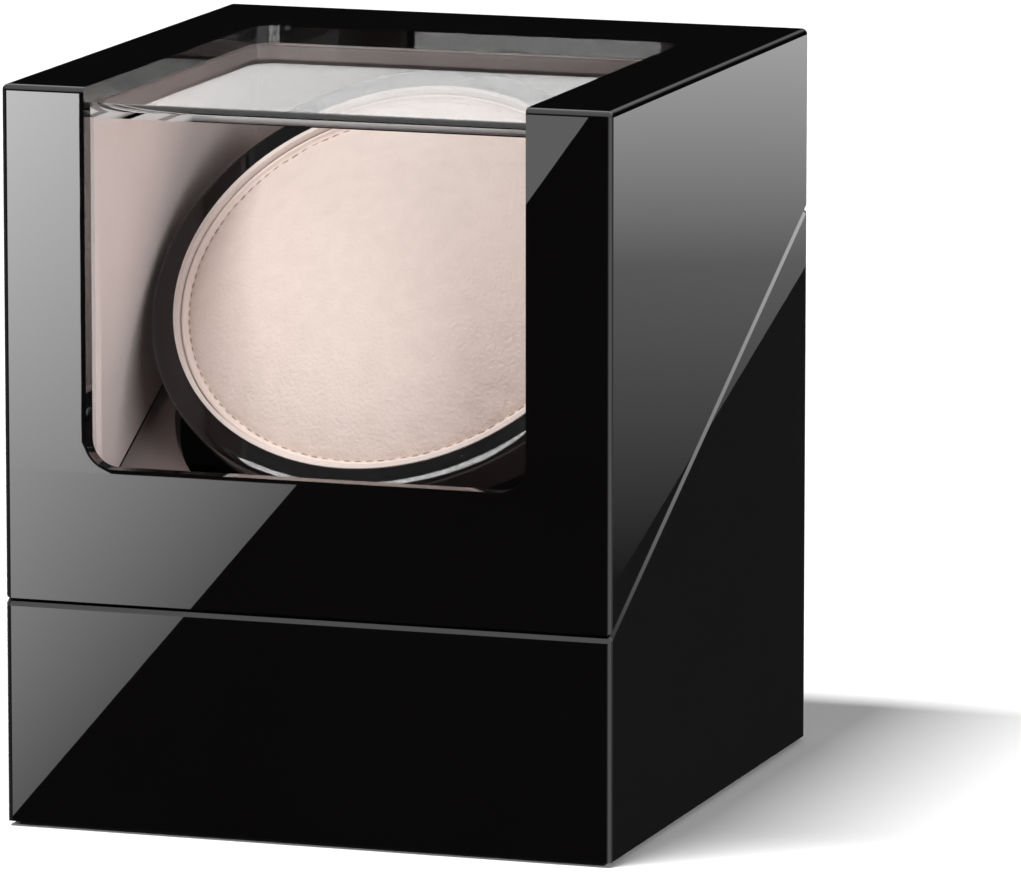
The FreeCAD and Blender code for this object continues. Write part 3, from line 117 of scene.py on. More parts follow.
@dataclass(frozen=True)
class NodeSheet:
    """A node tree that is being filled."""

    tree: NodeTree

    MIX_SHARE, MIX_FIRST, MIX_SECOND, MIX_RESULT = 0, 6, 7, 2

    def add(self, kind: str, sockets: dict | None = None, settings: dict | None = None) -> Node:
        """Add one node of any type.

        Args:
            kind: The node's type.
            sockets: Values or signals for its inputs, by name or by number.
            settings: Properties of the node, which are set first.

        Returns:
            The new node.
        """
        node = self.tree.nodes.new(kind)
        for name, value in (settings or {}).items():
            setattr(node, name, value)
        for key, value in (sockets or {}).items():
            self.feed(node.inputs[key], value)
        return node

    def feed(self, socket: NodeSocket, value: object) -> None:
        """Link a signal to a socket, or set the socket's own value.

        Args:
            socket: The input to fill.
            value: A signal, a colour or a plain value.
        """
        if isinstance(value, Signal):
            self.tree.links.new(value.socket, socket)
        elif socket.type == "RGBA":
            socket.default_value = (*value, 1.0)
        else:
            socket.default_value = value

    def signal(self, kind: str, sockets: dict | None = None, settings: dict | None = None,
               output: int | str = 0) -> Signal:
        """Add one node, as add does, and give one of its outputs, by name or by number."""
        return Signal(self, self.add(kind, sockets, settings).outputs[output])

    def signals(self, kind: str, *outputs: str, **sockets: Signal) -> list[Signal]:
        """Add one node and give several of its outputs, by name."""
        node = self.add(kind, sockets)
        return [Signal(self, node.outputs[name]) for name in outputs]

    def find(self, kind: str) -> Node:
        """The node of a type that the tree started with."""
        return next(node for node in self.tree.nodes if node.type == kind)

    def shade(self, **sockets: object) -> None:
        """Feed several inputs of the tree's own shader.

        Args:
            sockets: Values or signals by the input's name, with underscores for spaces.
        """
        inputs = self.find("BSDF_PRINCIPLED").inputs
        for name, value in sockets.items():
            self.feed(inputs[name.replace("_", " ")], value)

    def show(self, kind: str, sockets: dict) -> None:
        """Add the shader that the material shows."""
        self.feed(self.find("OUTPUT_MATERIAL").inputs[0], self.signal(kind, sockets))

    def maths(self, operation: str, *values: Signal | float) -> Signal:
        """One Math node on signals and numbers."""
        return self.signal("ShaderNodeMath", dict(enumerate(values)), {"operation": operation})

    def blend(self, share: Signal, first: Signal | Colour, second: Colour) -> Signal:
        """A colour that goes from the first to the second as the share goes from 0 to 1."""
        sockets = {self.MIX_SHARE: share, self.MIX_FIRST: first, self.MIX_SECOND: second}
        return self.signal("ShaderNodeMix", sockets, {"data_type": "RGBA"}, self.MIX_RESULT)

    def place(self, stretch: Triple | None = None) -> Signal:
        """Give object coordinates.

        Args:
            stretch: The scale of each axis, or none.

        Returns:
            The coordinates.
        """
        here = self.signal("ShaderNodeTexCoord", output="Object")
        if stretch is None:
            return here
        return self.signal("ShaderNodeMapping", {"Vector": here, "Scale": stretch})

    def noise(self, scale: float, detail: float, place: Signal | None = None) -> Signal:
        """Soft noise, from 0 to 1, with a number of lumps per metre."""
        sockets = {"Vector": place or self.place(), "Scale": scale, "Detail": detail}
        return self.signal("ShaderNodeTexNoise", sockets)

    def bump(self, height: Signal, depth: float) -> Signal:
        """A normal that follows a height of the given depth in metres."""
        return self.signal("ShaderNodeBump", {"Height": height, "Distance": depth})

    def coat(self, share: Signal, first: Colour, second: Colour, roughness: Signal | float,
             height: Signal, depth: float, **others: object) -> None:
        """Shade with a blend of two colours, a roughness and a relief of some depth."""
        self.shade(Base_Color=self.blend(share, first, second), Roughness=roughness,
                   Normal=self.bump(height, depth), **others)


@dataclass(frozen=True)
class Finish:
    """A surface finish. Its material is made once."""

    name: str

    @cache
    def material(self) -> Material:
        """Give this finish's material.

        Returns:
            The material, made on the first call.
        """
        made = bpy.data.materials.new(self.name)
        made.use_nodes = True
        self.fill(NodeSheet(made.node_tree))
        return made

    def fill(self, sheet: NodeSheet) -> None:
        """Set up the shader. Each kind of finish has its own way."""
        raise NotImplementedError


@dataclass(frozen=True)
class Lacquer(Finish):
    """Polished lacquer: a deep colour under a mirror gloss with a faint unevenness."""

    colour: Colour
    haze: Colour
    ripple_depth: float
    ripple_scale: float = 140.0
    wipe_scale: float = 22.0
    wipe_gain: float = 0.02

    def fill(self, sheet: NodeSheet) -> None:
        """Set up the shader.

        Args:
            sheet: The material's nodes.
        """
        wiped = sheet.noise(self.wipe_scale, detail=3.0)
        ripple = sheet.noise(self.ripple_scale, detail=1.0)
        sheet.coat(wiped, self.colour, self.haze, self.wipe_gain * wiped, ripple,
                   self.ripple_depth, IOR=PLASTIC_INDEX)


@dataclass(frozen=True)
class Nap(Finish):
    """Napped cloth: soft patches where the nap lies differently, over a fine fibre."""

    colour: Colour
    pressed: Colour
    patch_scale: float
    fibre_scale: float
    fibre_depth: float
    sheen: float
    patch_share: float = 0.75
    fibre_share: float = 0.5
    share_start: float = 0.12
    patch_swell: float = 0.5
    roughness: float = 0.86
    fibre_gain: float = 0.12
    sheen_roughness: float = 0.4
    gloss: float = 0.12

    def fill(self, sheet: NodeSheet) -> None:
        """Set up the shader.

        Args:
            sheet: The material's nodes.
        """
        patch = sheet.noise(self.patch_scale, detail=4.0)
        fibre = sheet.noise(self.fibre_scale, detail=3.0)
        share = self.patch_share * patch + self.fibre_share * fibre - self.share_start
        sheet.coat(share, self.pressed, self.colour, self.roughness + self.fibre_gain * fibre,
                   fibre + self.patch_swell * patch, self.fibre_depth, Sheen_Weight=self.sheen,
                   Sheen_Roughness=self.sheen_roughness, Specular_IOR_Level=self.gloss)


@dataclass(frozen=True)
class Moulded(Finish):
    """Moulded plastic or rubber: a colour with a little drift and a grained or smooth skin."""

    colour: Colour
    worn: Colour
    roughness: float
    grain_scale: float
    grain_depth: float
    drift_scale: float = 60.0
    drift_low: float = 0.85
    drift_gain: float = 0.3

    def fill(self, sheet: NodeSheet) -> None:
        """Set up the shader.

        Args:
            sheet: The material's nodes.
        """
        drift = sheet.noise(self.drift_scale, detail=3.0)
        grain = sheet.noise(self.grain_scale, detail=2.0)
        roughness = self.roughness * (self.drift_low + self.drift_gain * drift)
        sheet.coat(drift, self.colour, self.worn, roughness, grain, self.grain_depth,
                   IOR=PLASTIC_INDEX)


@dataclass(frozen=True)
class Metal(Finish):
    """Metal with fine marks along one direction and a little tarnish."""

    colour: Colour
    tarnish: Colour
    roughness: float
    marks: Triple
    mark_gain: float = 0.1
    mark_depth: float = 0.000004
    tarnish_scale: float = 170.0
    tarnish_gain: float = 0.08

    def fill(self, sheet: NodeSheet) -> None:
        """Set up the shader.

        Args:
            sheet: The material's nodes.
        """
        dulled = sheet.noise(self.tarnish_scale, detail=3.0)
        drawn = sheet.noise(1.0, 2.0, sheet.place(self.marks))
        roughness = self.roughness + self.mark_gain * drawn + self.tarnish_gain * dulled
        sheet.coat(dulled, self.colour, self.tarnish, roughness, drawn, self.mark_depth,
                   Metallic=1.0)


@dataclass(frozen=True)
class Fibreboard(Finish):
    """Raw fibreboard: pressed fibres with darker flecks."""

    colour: Colour
    fleck: Colour
    stretch: Triple = (1.0, 1.0, 2.5)
    fibre_scale: float = 900.0
    fibre_share: float = 0.6
    fibre_depth: float = 0.00003
    fleck_scale: float = 420.0
    fleck_level: float = 0.64
    fleck_share: float = 0.35
    roughness: float = 0.9

    def fill(self, sheet: NodeSheet) -> None:
        """Set up the shader.

        Args:
            sheet: The material's nodes.
        """
        place = sheet.place(self.stretch)
        fibre = sheet.noise(self.fibre_scale, 4.0, place)
        flecks = sheet.noise(self.fleck_scale, 1.0, place).above(self.fleck_level)
        share = self.fibre_share * fibre + self.fleck_share * flecks
        sheet.coat(share, self.colour, self.fleck, self.roughness, fibre, self.fibre_depth)


@dataclass(frozen=True)
class Circuit(Finish):
    """A circuit board: copper runs under a coloured mask."""

    mask: Colour
    run: Colour
    run_scale: float = 160.0
    run_width: float = 0.05
    run_depth: float = 0.00003
    run_gain: float = 0.15
    roughness: float = 0.25

    def fill(self, sheet: NodeSheet) -> None:
        """Set up the shader.

        Args:
            sheet: The material's nodes.
        """
        upright = {"Vector": sheet.place(), "Rotation": (pi / 2, 0.0, 0.0)}
        bricks = {"Vector": sheet.signal("ShaderNodeMapping", upright), "Scale": self.run_scale,
                  "Mortar Size": self.run_width}
        runs = sheet.signal("ShaderNodeTexBrick", bricks, output="Fac")
        sheet.coat(runs, self.mask, self.run, self.roughness + self.run_gain * runs, runs,
                   self.run_depth)


@dataclass(frozen=True)
class Thread(Finish):
    """Twisted sewing thread. Its colour is darker in the twist's grooves: painted shade."""

    colour: Colour
    # painted shade: the darker colour that the twist's grooves get
    painted_groove_shade: Colour
    twist_scale: float = 900.0
    twist_bend: float = 1.5
    twist_depth: float = 0.00004
    roughness: float = 0.75

    def fill(self, sheet: NodeSheet) -> None:
        """Set up the shader.

        Args:
            sheet: The material's nodes.
        """
        wave = {"Vector": sheet.place(), "Scale": self.twist_scale, "Distortion": self.twist_bend}
        twist = sheet.signal("ShaderNodeTexWave", wave, {"bands_direction": "DIAGONAL"}, "Fac")
        # The colour follows the twist's relief, darker in its grooves: painted shade.
        sheet.coat(twist, self.painted_groove_shade, self.colour, self.roughness, twist, self.twist_depth)


@dataclass(frozen=True)
class ClearSheet(Finish):
    """Clear sheet that bends what is seen through it, lets lamplight pass, and has sawn edges."""

    tint: Colour
    sawn: Colour
    refraction: float
    side_edge: float
    back_edge: float
    low_edge: float
    wipe_scale: float = 30.0
    wipe_gain: float = 0.012

    def fill(self, sheet: NodeSheet) -> None:
        """Set up the shader.

        Args:
            sheet: The material's nodes.
        """
        wiped = sheet.noise(self.wipe_scale, detail=3.0)
        sheet.shade(Base_Color=self.tint, Roughness=self.wipe_gain * wiped,
                    Transmission_Weight=1.0, IOR=self.refraction)
        shadow, diffuse = sheet.signals("ShaderNodeLightPath", "Is Shadow Ray", "Is Diffuse Ray")
        clear = sheet.signal("ShaderNodeBsdfTransparent", {"Color": self.tint})
        pane = Signal(sheet, sheet.find("BSDF_PRINCIPLED").outputs["BSDF"])
        passing = shadow.at_least(diffuse)
        whole = sheet.signal("ShaderNodeMixShader", {0: passing, 1: pane, 2: clear})
        x, y, z = sheet.signals("ShaderNodeSeparateXYZ", "X", "Y", "Z", Vector=sheet.place())
        edge = sheet.maths("ABSOLUTE", x).above(self.side_edge)
        edge = edge.at_least(y.above(self.back_edge)).at_least((0.0 - z).above(-self.low_edge))
        frost = sheet.signal("ShaderNodeBsdfDiffuse", {"Color": self.sawn})
        sheet.show("ShaderNodeMixShader", {0: edge, 1: whole, 2: frost})


@dataclass(frozen=True)
class Paper(Finish):
    """The floor's pale sheet: white to the camera and through the pane, dark where mirrored."""

    colour: Colour
    seen: Colour
    mirrored: Colour
    any_bounce: float = 0.5

    def fill(self, sheet: NodeSheet) -> None:
        """Set up the shader.

        Args:
            sheet: The material's nodes.
        """
        camera, through, bounces = sheet.signals(
            "ShaderNodeLightPath", "Is Camera Ray", "Is Transmission Ray", "Glossy Depth")
        straight = sheet.blend(camera.at_least(through), self.colour, self.seen)
        bounced = bounces.above(self.any_bounce)
        sheet.shade(Base_Color=sheet.blend(bounced, straight, self.mirrored), Roughness=1.0,
                    Specular_IOR_Level=0.0)


@dataclass(frozen=True)
class Glow(Finish):
    """A card that shines by its points' level, times a share until the pane is crossed twice."""

    level: str
    early: float
    two_panes: float = 3.5

    def fill(self, sheet: NodeSheet) -> None:
        """Set up the shader.

        Args:
            sheet: The material's nodes.
        """
        kept = sheet.signal("ShaderNodeAttribute", {}, {"attribute_name": self.level}, "Fac")
        depth = sheet.signal("ShaderNodeLightPath", output="Transmission Depth")
        strength = kept * (self.early + (1.0 - self.early) * depth.above(self.two_panes))
        sheet.show("ShaderNodeEmission", {"Color": grey(1.0), "Strength": strength})


def grey(level: float) -> Colour:
    """A colour with no hue."""
    return (level, level, level)


LACQUER = Lacquer("black_lacquer", (0.002, 0.0016, 0.0018), (0.0036, 0.0032, 0.0032), 0.0000012)
ACRYLIC = ClearSheet("acrylic_sheet", (0.99, 0.99, 0.985), grey(0.9), refraction=1.49,
                     side_edge=47.15 * MM, back_edge=35.95 * MM, low_edge=70.55 * MM)
FLANNEL = Nap("beige_flannel", (0.76, 0.655, 0.64), (0.66, 0.565, 0.55), 70.0, 2600.0, 0.00012,
              0.15)
SUEDE = Nap("cream_suede", (0.84, 0.71, 0.66), (0.70, 0.58, 0.535), 260.0, 1300.0, 0.0002, 0.2)
RIM_FLANNEL = Nap("pale_flannel", (0.76, 0.67, 0.64), (0.66, 0.57, 0.54), 110.0, 2600.0, 0.0001,
                  0.25)
FELT = Nap("black_felt", (0.012, 0.012, 0.013), grey(0.006), 160.0, 1500.0, 0.0003, 0.1)
CUP_PLASTIC = Moulded("gloss_black_plastic", (0.004, 0.0038, 0.004), (0.007, 0.0065, 0.0065), 0.06,
                      90.0, 0.000004)
CASE_PLASTIC = Moulded("grained_black_plastic", (0.012, 0.012, 0.013), (0.02, 0.02, 0.021), 0.42,
                       1700.0, 0.00006)
RUBBER = Moulded("soft_rubber", grey(0.03), grey(0.05), 0.75, 900.0, 0.00004)
NYLON = Moulded("white_nylon", (0.70, 0.69, 0.64), (0.60, 0.59, 0.54), 0.4, 400.0, 0.00001)
MARKING = Moulded("white_marking", (0.78, 0.78, 0.76), (0.66, 0.66, 0.64), 0.5, 800.0, 0.00001)
BRASS = Metal("polished_brass", (0.72, 0.52, 0.21), (0.50, 0.34, 0.13), 0.18,
              (90.0, 2600.0, 2600.0))
STEEL = Metal("bright_steel", (0.58, 0.58, 0.57), grey(0.45), 0.2, (2200.0, 120.0, 2200.0))
BLACK_STEEL = Metal("blackened_steel", (0.045, 0.045, 0.048), grey(0.08), 0.34,
                    (1500.0, 1500.0, 300.0))
BRONZE = Metal("sintered_bronze", (0.50, 0.30, 0.14), (0.36, 0.21, 0.10), 0.42, (1800.0,) * 3)
ZINC = Metal("cast_zinc", (0.46, 0.46, 0.47), (0.36, 0.36, 0.37), 0.45, (700.0,) * 3)
BOARD = Fibreboard("raw_fibreboard", (0.34, 0.22, 0.12), (0.16, 0.09, 0.045))
CIRCUIT = Circuit("green_circuit_board", (0.01, 0.09, 0.035), (0.06, 0.22, 0.06))
# The thread's second colour is painted shade for the twist's grooves.
THREAD = Thread("cream_thread", (0.50, 0.385, 0.335), (0.30, 0.22, 0.19))
FLOOR_PAPER = Paper("floor_paper", grey(0.8), seen=grey(1.16), mirrored=grey(0.02))
CARD_GLOW = Glow("card_glow", "level", early=1.0)
FLAG_GLOW = Glow("flag_glow", "level", early=12.0)
STREAK_GLOW = Glow("streak_glow", "level", early=0.0)


def paint(finish: Finish, *nodes: str) -> None:
    """Give CAD nodes a finish.

    Args:
        finish: The finish.
        nodes: The nodes' names.
    """
    for name in nodes:
        held = frame["nodes"][name].data.materials
        held.clear()
        held.append(finish.material())
        LOG.info("%s: %s", name, finish.name)


def new_object(name: str, data: ID, finish: Finish | None = None) -> Object:
    """Put a mesh, a camera or a lamp into the scene.

    Args:
        name: The object's name.
        data: Its mesh, camera or lamp.
        finish: The finish of a mesh that has none yet.

    Returns:
        The new object, at the origin.
    """
    made = bpy.data.objects.new(name, data)
    bpy.context.scene.collection.objects.link(made)
    if finish is not None:
        data.materials.append(finish.material())
    return made


def settled(made: Object) -> Mesh:
    """The plain mesh that an object's modifiers give at this frame."""
    graph = bpy.context.evaluated_depsgraph_get()
    return bpy.data.meshes.new_from_object(made.evaluated_get(graph), depsgraph=graph)


def woven(name: str, points: list, faces: Faces) -> Mesh:
    """Make a mesh of points and faces.

    Args:
        name: Its name.
        points: Its points.
        faces: Its faces, as the numbers of their points.

    Returns:
        The mesh.
    """
    mesh = bpy.data.meshes.new(name)
    mesh.from_pydata(points, [], faces)
    return mesh


def level_square(half: float, height: float) -> list[Vector]:
    """The corners of a level square about Z."""
    return [Vector((x * half, y * half, height)) for x, y in ((-1, -1), (1, -1), (1, 1), (-1, 1))]


def grid_faces(rows: int, columns: int, width: int, first: int = 0) -> Faces:
    """Join rows of points with quads. A row with as many quads as points closes on itself.

    Args:
        rows: How many rows of quads.
        columns: How many quads in a row.
        width: How many points in a row.
        first: The first point's number.

    Returns:
        The quads.
    """
    starts = [first + row * width for row in range(rows)]
    sides = [(start + column, start + (column + 1) % width)
             for start in starts for column in range(columns)]
    return [(near, far, far + width, near + width) for near, far in sides]


def hump(value: float, middle: float, half: float) -> float:
    """A flat-topped hump of height 1 about a middle."""
    return exp(-((value - middle) / half) ** 4)


def spun(name: str, profile: Profile, steps: int) -> Mesh:
    """Turn a profile about Z into a closed mesh.

    Args:
        name: The mesh's name.
        profile: Radius and height of each ring, from the top's middle to the foot's middle.
        steps: The points on each ring.

    Returns:
        The mesh, smooth all over.
    """
    points: list[Triple] = [(0.0, 0.0, profile[0][1])]
    for radius, height in profile[1:-1]:
        turns = (2 * pi * step / steps for step in range(steps))
        points += [(radius * cos(turn), radius * sin(turn), height) for turn in turns]
    points.append((0.0, 0.0, profile[-1][1]))
    last = len(points) - 1
    end = (len(profile) - 3) * steps
    faces: Faces = []
    for step in range(steps):
        near, far = 1 + step, 1 + (step + 1) % steps
        faces.append((0, near, far))
        for low in range(0, end, steps):
            faces.append((near + low, near + low + steps, far + low + steps, far + low))
        faces.append((near + end, last, far + end))
    mesh = woven(name, points, faces)
    mesh.shade_smooth()
    return mesh


class RepeatTree:
    """A Geometry Nodes tree that repeats a small piece. Each kind says where its points are."""

    INPUTS: dict[str, str] = {}

    def __init__(self, name: str, finish: Finish) -> None:
        """Build the tree.

        Args:
            name: The tree's name.
            finish: What its pieces are made of.
        """
        self.tree = bpy.data.node_groups.new(name, "GeometryNodeTree")
        sides = self.tree.interface
        sides.new_socket("Geometry", in_out="OUTPUT", socket_type="NodeSocketGeometry")
        self.sockets = {label: sides.new_socket(label, in_out="INPUT", socket_type=kind).identifier
                        for label, kind in self.INPUTS.items()}
        sheet = NodeSheet(self.tree)
        set_out = self.set_out(sheet, *sheet.signals("NodeGroupInput", *self.INPUTS))
        real = sheet.signal("GeometryNodeRealizeInstances", {"Geometry": set_out})
        dress = {"Geometry": real, "Material": finish.material()}
        dressed = sheet.signal("GeometryNodeSetMaterial", dress)
        sheet.add("NodeGroupOutput", {"Geometry": dressed})

    def set_out(self, sheet: NodeSheet, *given: Signal) -> Signal:
        """Instance the piece at its points. Each kind has its own way."""
        raise NotImplementedError

    def grow(self, name: str, place: Matrix, **values: object) -> Object:
        """Make the repeated pieces as one plain mesh.

        Args:
            name: The object's name.
            place: Where the tree's own frame goes.
            values: The tree's inputs.

        Returns:
            The pieces, with their place in their mesh.
        """
        carrier = new_object(name, bpy.data.meshes.new(name))
        maker = carrier.modifiers.new("repeat", "NODES")
        maker.node_group = self.tree
        for label, value in values.items():
            maker[self.sockets[label]] = value
        mesh = settled(carrier)
        carrier.modifiers.remove(maker)
        mesh.transform(place)
        carrier.data = mesh
        return carrier


class RingTree(RepeatTree):
    """Small rounded pieces along a ring or part of one."""

    INPUTS = {"Count": "NodeSocketInt", "Radius": "NodeSocketFloat", "Start": "NodeSocketFloat",
              "Sweep": "NodeSocketFloat", "Size": "NodeSocketVector"}
    BEAD = {"Segments": 8, "Rings": 6, "Radius": 1.0}

    def set_out(self, sheet: NodeSheet, *given: Signal) -> Signal:
        """Instance a rounded piece at even turns.

        Args:
            sheet: The tree's nodes.
            given: The tree's inputs, in their order.

        Returns:
            The pieces.
        """
        count, radius, start, sweep, size = given
        index = sheet.signal("GeometryNodeInputIndex")
        turn = start + sweep * sheet.maths("DIVIDE", index, count)
        spot = sheet.signal("ShaderNodeCombineXYZ", {"X": radius * sheet.maths("COSINE", turn),
                                                     "Y": radius * sheet.maths("SINE", turn)})
        points = sheet.signal("GeometryNodePoints", {"Count": count, "Position": spot})
        bead = sheet.signal("GeometryNodeMeshUVSphere", self.BEAD)
        facing = sheet.signal("ShaderNodeCombineXYZ", {"Z": turn})
        set_out = sheet.signal("GeometryNodeInstanceOnPoints", {
            "Points": points, "Instance": bead, "Rotation": facing, "Scale": size})
        return sheet.signal("GeometryNodeSetShadeSmooth", {"Geometry": set_out})


class RowTree(RepeatTree):
    """Copies of one piece in a straight row."""

    INPUTS = {"Piece": "NodeSocketObject", "Count": "NodeSocketInt", "Step": "NodeSocketVector"}

    def set_out(self, sheet: NodeSheet, *given: Signal) -> Signal:
        """Instance the piece at even steps.

        Args:
            sheet: The tree's nodes.
            given: The tree's inputs, in their order.

        Returns:
            The pieces.
        """
        piece, count, step = given
        line = {"Count": count, "Offset": step}
        points = sheet.signal("GeometryNodeMeshLine", line, {"mode": "OFFSET"})
        shape = sheet.signal("GeometryNodeObjectInfo", {"Object": piece}, output="Geometry")
        return sheet.signal("GeometryNodeInstanceOnPoints", {"Points": points, "Instance": shape})


@dataclass
class Case:
    """The lacquered box, its board bottom and its hinges."""

    felt_finish: Finish = FELT

    def dress(self) -> None:
        """Give the case's nodes their finishes."""
        paint(LACQUER, "base_shell", "lid_shell")
        paint(ACRYLIC, "window_pane")
        paint(FLANNEL, "lid_top_lining", "lid_front_lining", "lid_side_linings", "lid_back_lining",
              "deck")
        paint(self.felt_finish, "base_felt")
        paint(BOARD, "bottom_plate", "corner_blocks", "deck_ledgers")
        paint(RUBBER, "rim_bumpers")
        paint(BRASS, "hinge_base_leaves", "hinge_lid_leaves", "hinge_pins", "hinge_base_screws",
              "hinge_lid_screws")
        paint(BLACK_STEEL, "bottom_screws")


@dataclass
class Drive:
    """The geared motor under the cup."""

    gear_finish: Finish = NYLON

    def dress(self) -> None:
        """Give the drive's nodes their finishes."""
        paint(STEEL, "rotor_shaft", "output_shaft", "shaft_clip", "hub_screw", "hub_washer",
              "clip_washer", "motor_can")
        paint(BRONZE, "shaft_bush")
        paint(self.gear_finish, "driven_gear", "motor_pinion", "thrust_washer")
        paint(ZINC, "gearbox")
        paint(CASE_PLASTIC, "motor_cradle", "motor_cap")
        paint(BLACK_STEEL, "cradle_screws", "motor_screws")


@dataclass
class CupSet:
    """The turning cup with its pillow: a crowned, stuffed round with a sewn welt."""

    radius: float = 44.2 * MM
    crown: float = 10.6 * MM
    crown_power: float = 2.4
    edge_drop: float = 1.2 * MM
    welt: float = 0.45 * MM
    welt_rings: int = 11
    welt_start: float = 165.0
    welt_step: float = 21.0
    side_rings: int = 9
    side_inset: float = 0.6
    side_power: float = 1.6
    belly: float = 0.6 * MM
    foot_depth: float = 22.0 * MM
    foot_draw: float = 7.0 * MM
    foot_round: Pair = (1.0 * MM, 0.4 * MM)
    foot_flat: float = 3.0 * MM
    seam_inset: float = 1.6 * MM
    seam_depth: float = 0.35 * MM
    seam_width: float = 0.6 * MM
    coarse_rings: int = 16
    coarse_steps: int = 64
    voxel: float = 3.0 * MM
    hold_margin: float = 0.2 * MM
    swell_scale: float = 8.0
    swell_cap: float = 2.2 * MM
    swell_fade: float = 4.0 * MM
    pressure: float = 4.0
    frames: int = 20
    steps: int = 192
    top_rings: int = 44
    ring_power: float = 1.5
    ray_height: float = 0.05
    # Each ripple of the cloth by the seam: its height in millimetres, its count and its start.
    puckers: tuple[Triple, ...] = ((0.16, 37, 0.0), (0.12, 23, 1.0))
    pucker_inset: float = 2.0 * MM
    pucker_width: float = 2.2 * MM
    stitch_count: int = 116
    stitch_size: Triple = (0.22 * MM, 0.8 * MM, 0.26 * MM)

    @property
    def seam_radius(self) -> float:
        """The radius of the sewn line inside the welt."""
        return self.radius - self.seam_inset

    def axis_frame(self) -> Matrix:
        """The cup's own frame: its origin in the middle of the rim, with Z out of the cup.

        Returns:
            The matrix from that frame to the shared frame.
        """
        joints = frame["record"]["behaviour"]["joints"]
        spin = next(joint for joint in joints if joint["name"] == "cup_spin")
        out = Vector(spin["axis"]).normalized()
        across = Vector((1.0, 0.0, 0.0))
        turned = Matrix((across, out.cross(across), out)).transposed().to_4x4()
        return Matrix.Translation(Vector(spin["pos_m"])) @ turned

    def dome(self, radius: float) -> float:
        """The height of the unswollen top at a radius."""
        share = min(radius / self.seam_radius, 1.0)
        return -self.edge_drop + (self.crown + self.edge_drop) * (1.0 - share ** self.crown_power)

    def side_profile(self) -> Profile:
        """Set out the welt, the tapering side and the foot, from the seam down.

        Returns:
            The radius and height of each ring.
        """
        middle, height = self.radius - self.welt, -self.edge_drop
        rings = []
        for step in range(self.welt_rings):
            turn = radians(self.welt_start - self.welt_step * step)
            rings.append((middle + self.welt * cos(turn), height + self.welt * sin(turn)))
        start, drop = height - self.welt, self.foot_depth + height - self.welt
        for step in range(1, self.side_rings):
            share = step / self.side_rings
            drawn = self.foot_draw * share ** self.side_power
            bulge = self.belly * sin(pi * share)
            out = self.radius - self.side_inset * self.welt - drawn + bulge
            rings.append((out, start - drop * share))
        foot, floor = self.radius - self.foot_draw, -self.foot_depth
        inset, rise = self.foot_round
        return rings + [(foot - inset, floor + rise), (foot - self.foot_flat, floor),
                        (foot / 2, floor), (0.0, floor)]

    def top_profile(self, rings: int) -> Profile:
        """Rings of the top, from its middle out to the seam, closer together at the seam."""
        shares = (1.0 - (1.0 - step / rings) ** self.ring_power for step in range(rings + 1))
        return [(self.seam_radius * share, self.dome(self.seam_radius * share)) for share in shares]

    def swollen_top(self) -> BVHTree:
        """Stuff the pillow: blow a remeshed copy up as cloth, held below its seam.

        Returns:
            A tree of the swollen surface, in the cup's frame.
        """
        grow = self.swell_scale
        profile = self.top_profile(self.coarse_rings) + self.side_profile()
        mesh = spun("pillow_start", profile, self.coarse_steps)
        mesh.transform(Matrix.Scale(grow, 4))
        shell = new_object("pillow_swell", mesh)
        remesh = shell.modifiers.new("remesh", "REMESH")
        remesh.mode = "VOXEL"
        remesh.voxel_size = self.voxel * grow
        mesh = settled(shell)
        shell.modifiers.remove(remesh)
        shell.data = mesh
        before = [point.co.copy() for point in mesh.vertices]
        line = -(self.edge_drop + self.hold_margin) * grow
        fixed = shell.vertex_groups.new(name="held")
        fixed.add([n for n, point in enumerate(before) if point.z < line], 1.0, "REPLACE")
        cloth = shell.modifiers.new("cloth", "CLOTH")
        held = cloth.settings
        held.vertex_group_mass = fixed.name
        held.use_pressure = True
        held.uniform_pressure_force = self.pressure
        held.effector_weights.gravity = 0.0
        cloth.point_cache.frame_end = self.frames
        for number in range(1, self.frames + 1):
            bpy.context.scene.frame_set(number)
        blown = settled(shell)
        bpy.context.scene.frame_set(1)
        cap = self.swell_cap * grow
        points = []
        for start, point in zip(before, blown.vertices):
            move = point.co - start
            if move.length > cap:
                move *= cap / move.length
            points.append((start + move) / grow)
        tree = BVHTree.FromPolygons(points, [tuple(face.vertices) for face in blown.polygons])
        bpy.data.objects.remove(shell)
        return tree

    def sew_top(self, mesh: Mesh, tree: BVHTree | None) -> None:
        """Lift the pillow's top to the swollen surface and draw it in along the seam.

        Args:
            mesh: The pillow's fine mesh, in the cup's frame.
        """
        down = Vector((0.0, 0.0, -1.0))
        for point in mesh.vertices[:1 + self.top_rings * self.steps]:
            gap = self.seam_radius - point.co.xy.length
            height = point.co.z
            if tree is not None:
                hit = tree.ray_cast(Vector((point.co.x, point.co.y, self.ray_height)), down)[0]
                share = min(gap / self.swell_fade, 1.0)
                height += (max(hit.z, height) - height) * share if hit else 0.0
            turn = atan2(point.co.y, point.co.x)
            pucker = sum(rise * sin(count * turn + start) for rise, count, start in self.puckers)
            fade = (gap - self.pucker_inset) / self.pucker_width
            height += MM * pucker * exp(-fade ** 2)
            height -= self.seam_depth * exp(-(gap / self.seam_width) ** 2)
            point.co.z = height

    def build(self) -> None:
        """Make the pillow and its stitches, and dress the cup."""
        place = self.axis_frame()
        tree = self.swollen_top()
        profile = self.top_profile(self.top_rings) + self.side_profile()
        mesh = spun("sewn_pillow", profile, self.steps)
        self.sew_top(mesh, tree)
        mesh.transform(place)
        pillow = new_object("sewn_pillow", mesh, SUEDE)
        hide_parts("pillow")
        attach(pillow, Body.CUP.value)

        seat = Matrix.Translation((0.0, 0.0, self.dome(self.seam_radius) - self.seam_depth))
        stitches = RingTree("stitch_ring", THREAD).grow(
            "pillow_stitches", place @ seat, Count=self.stitch_count, Radius=self.seam_radius,
            Start=0.0, Sweep=2 * pi, Size=self.stitch_size)
        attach(stitches, Body.CUP.value)
        LOG.info("pillow and %d stitches", self.stitch_count)

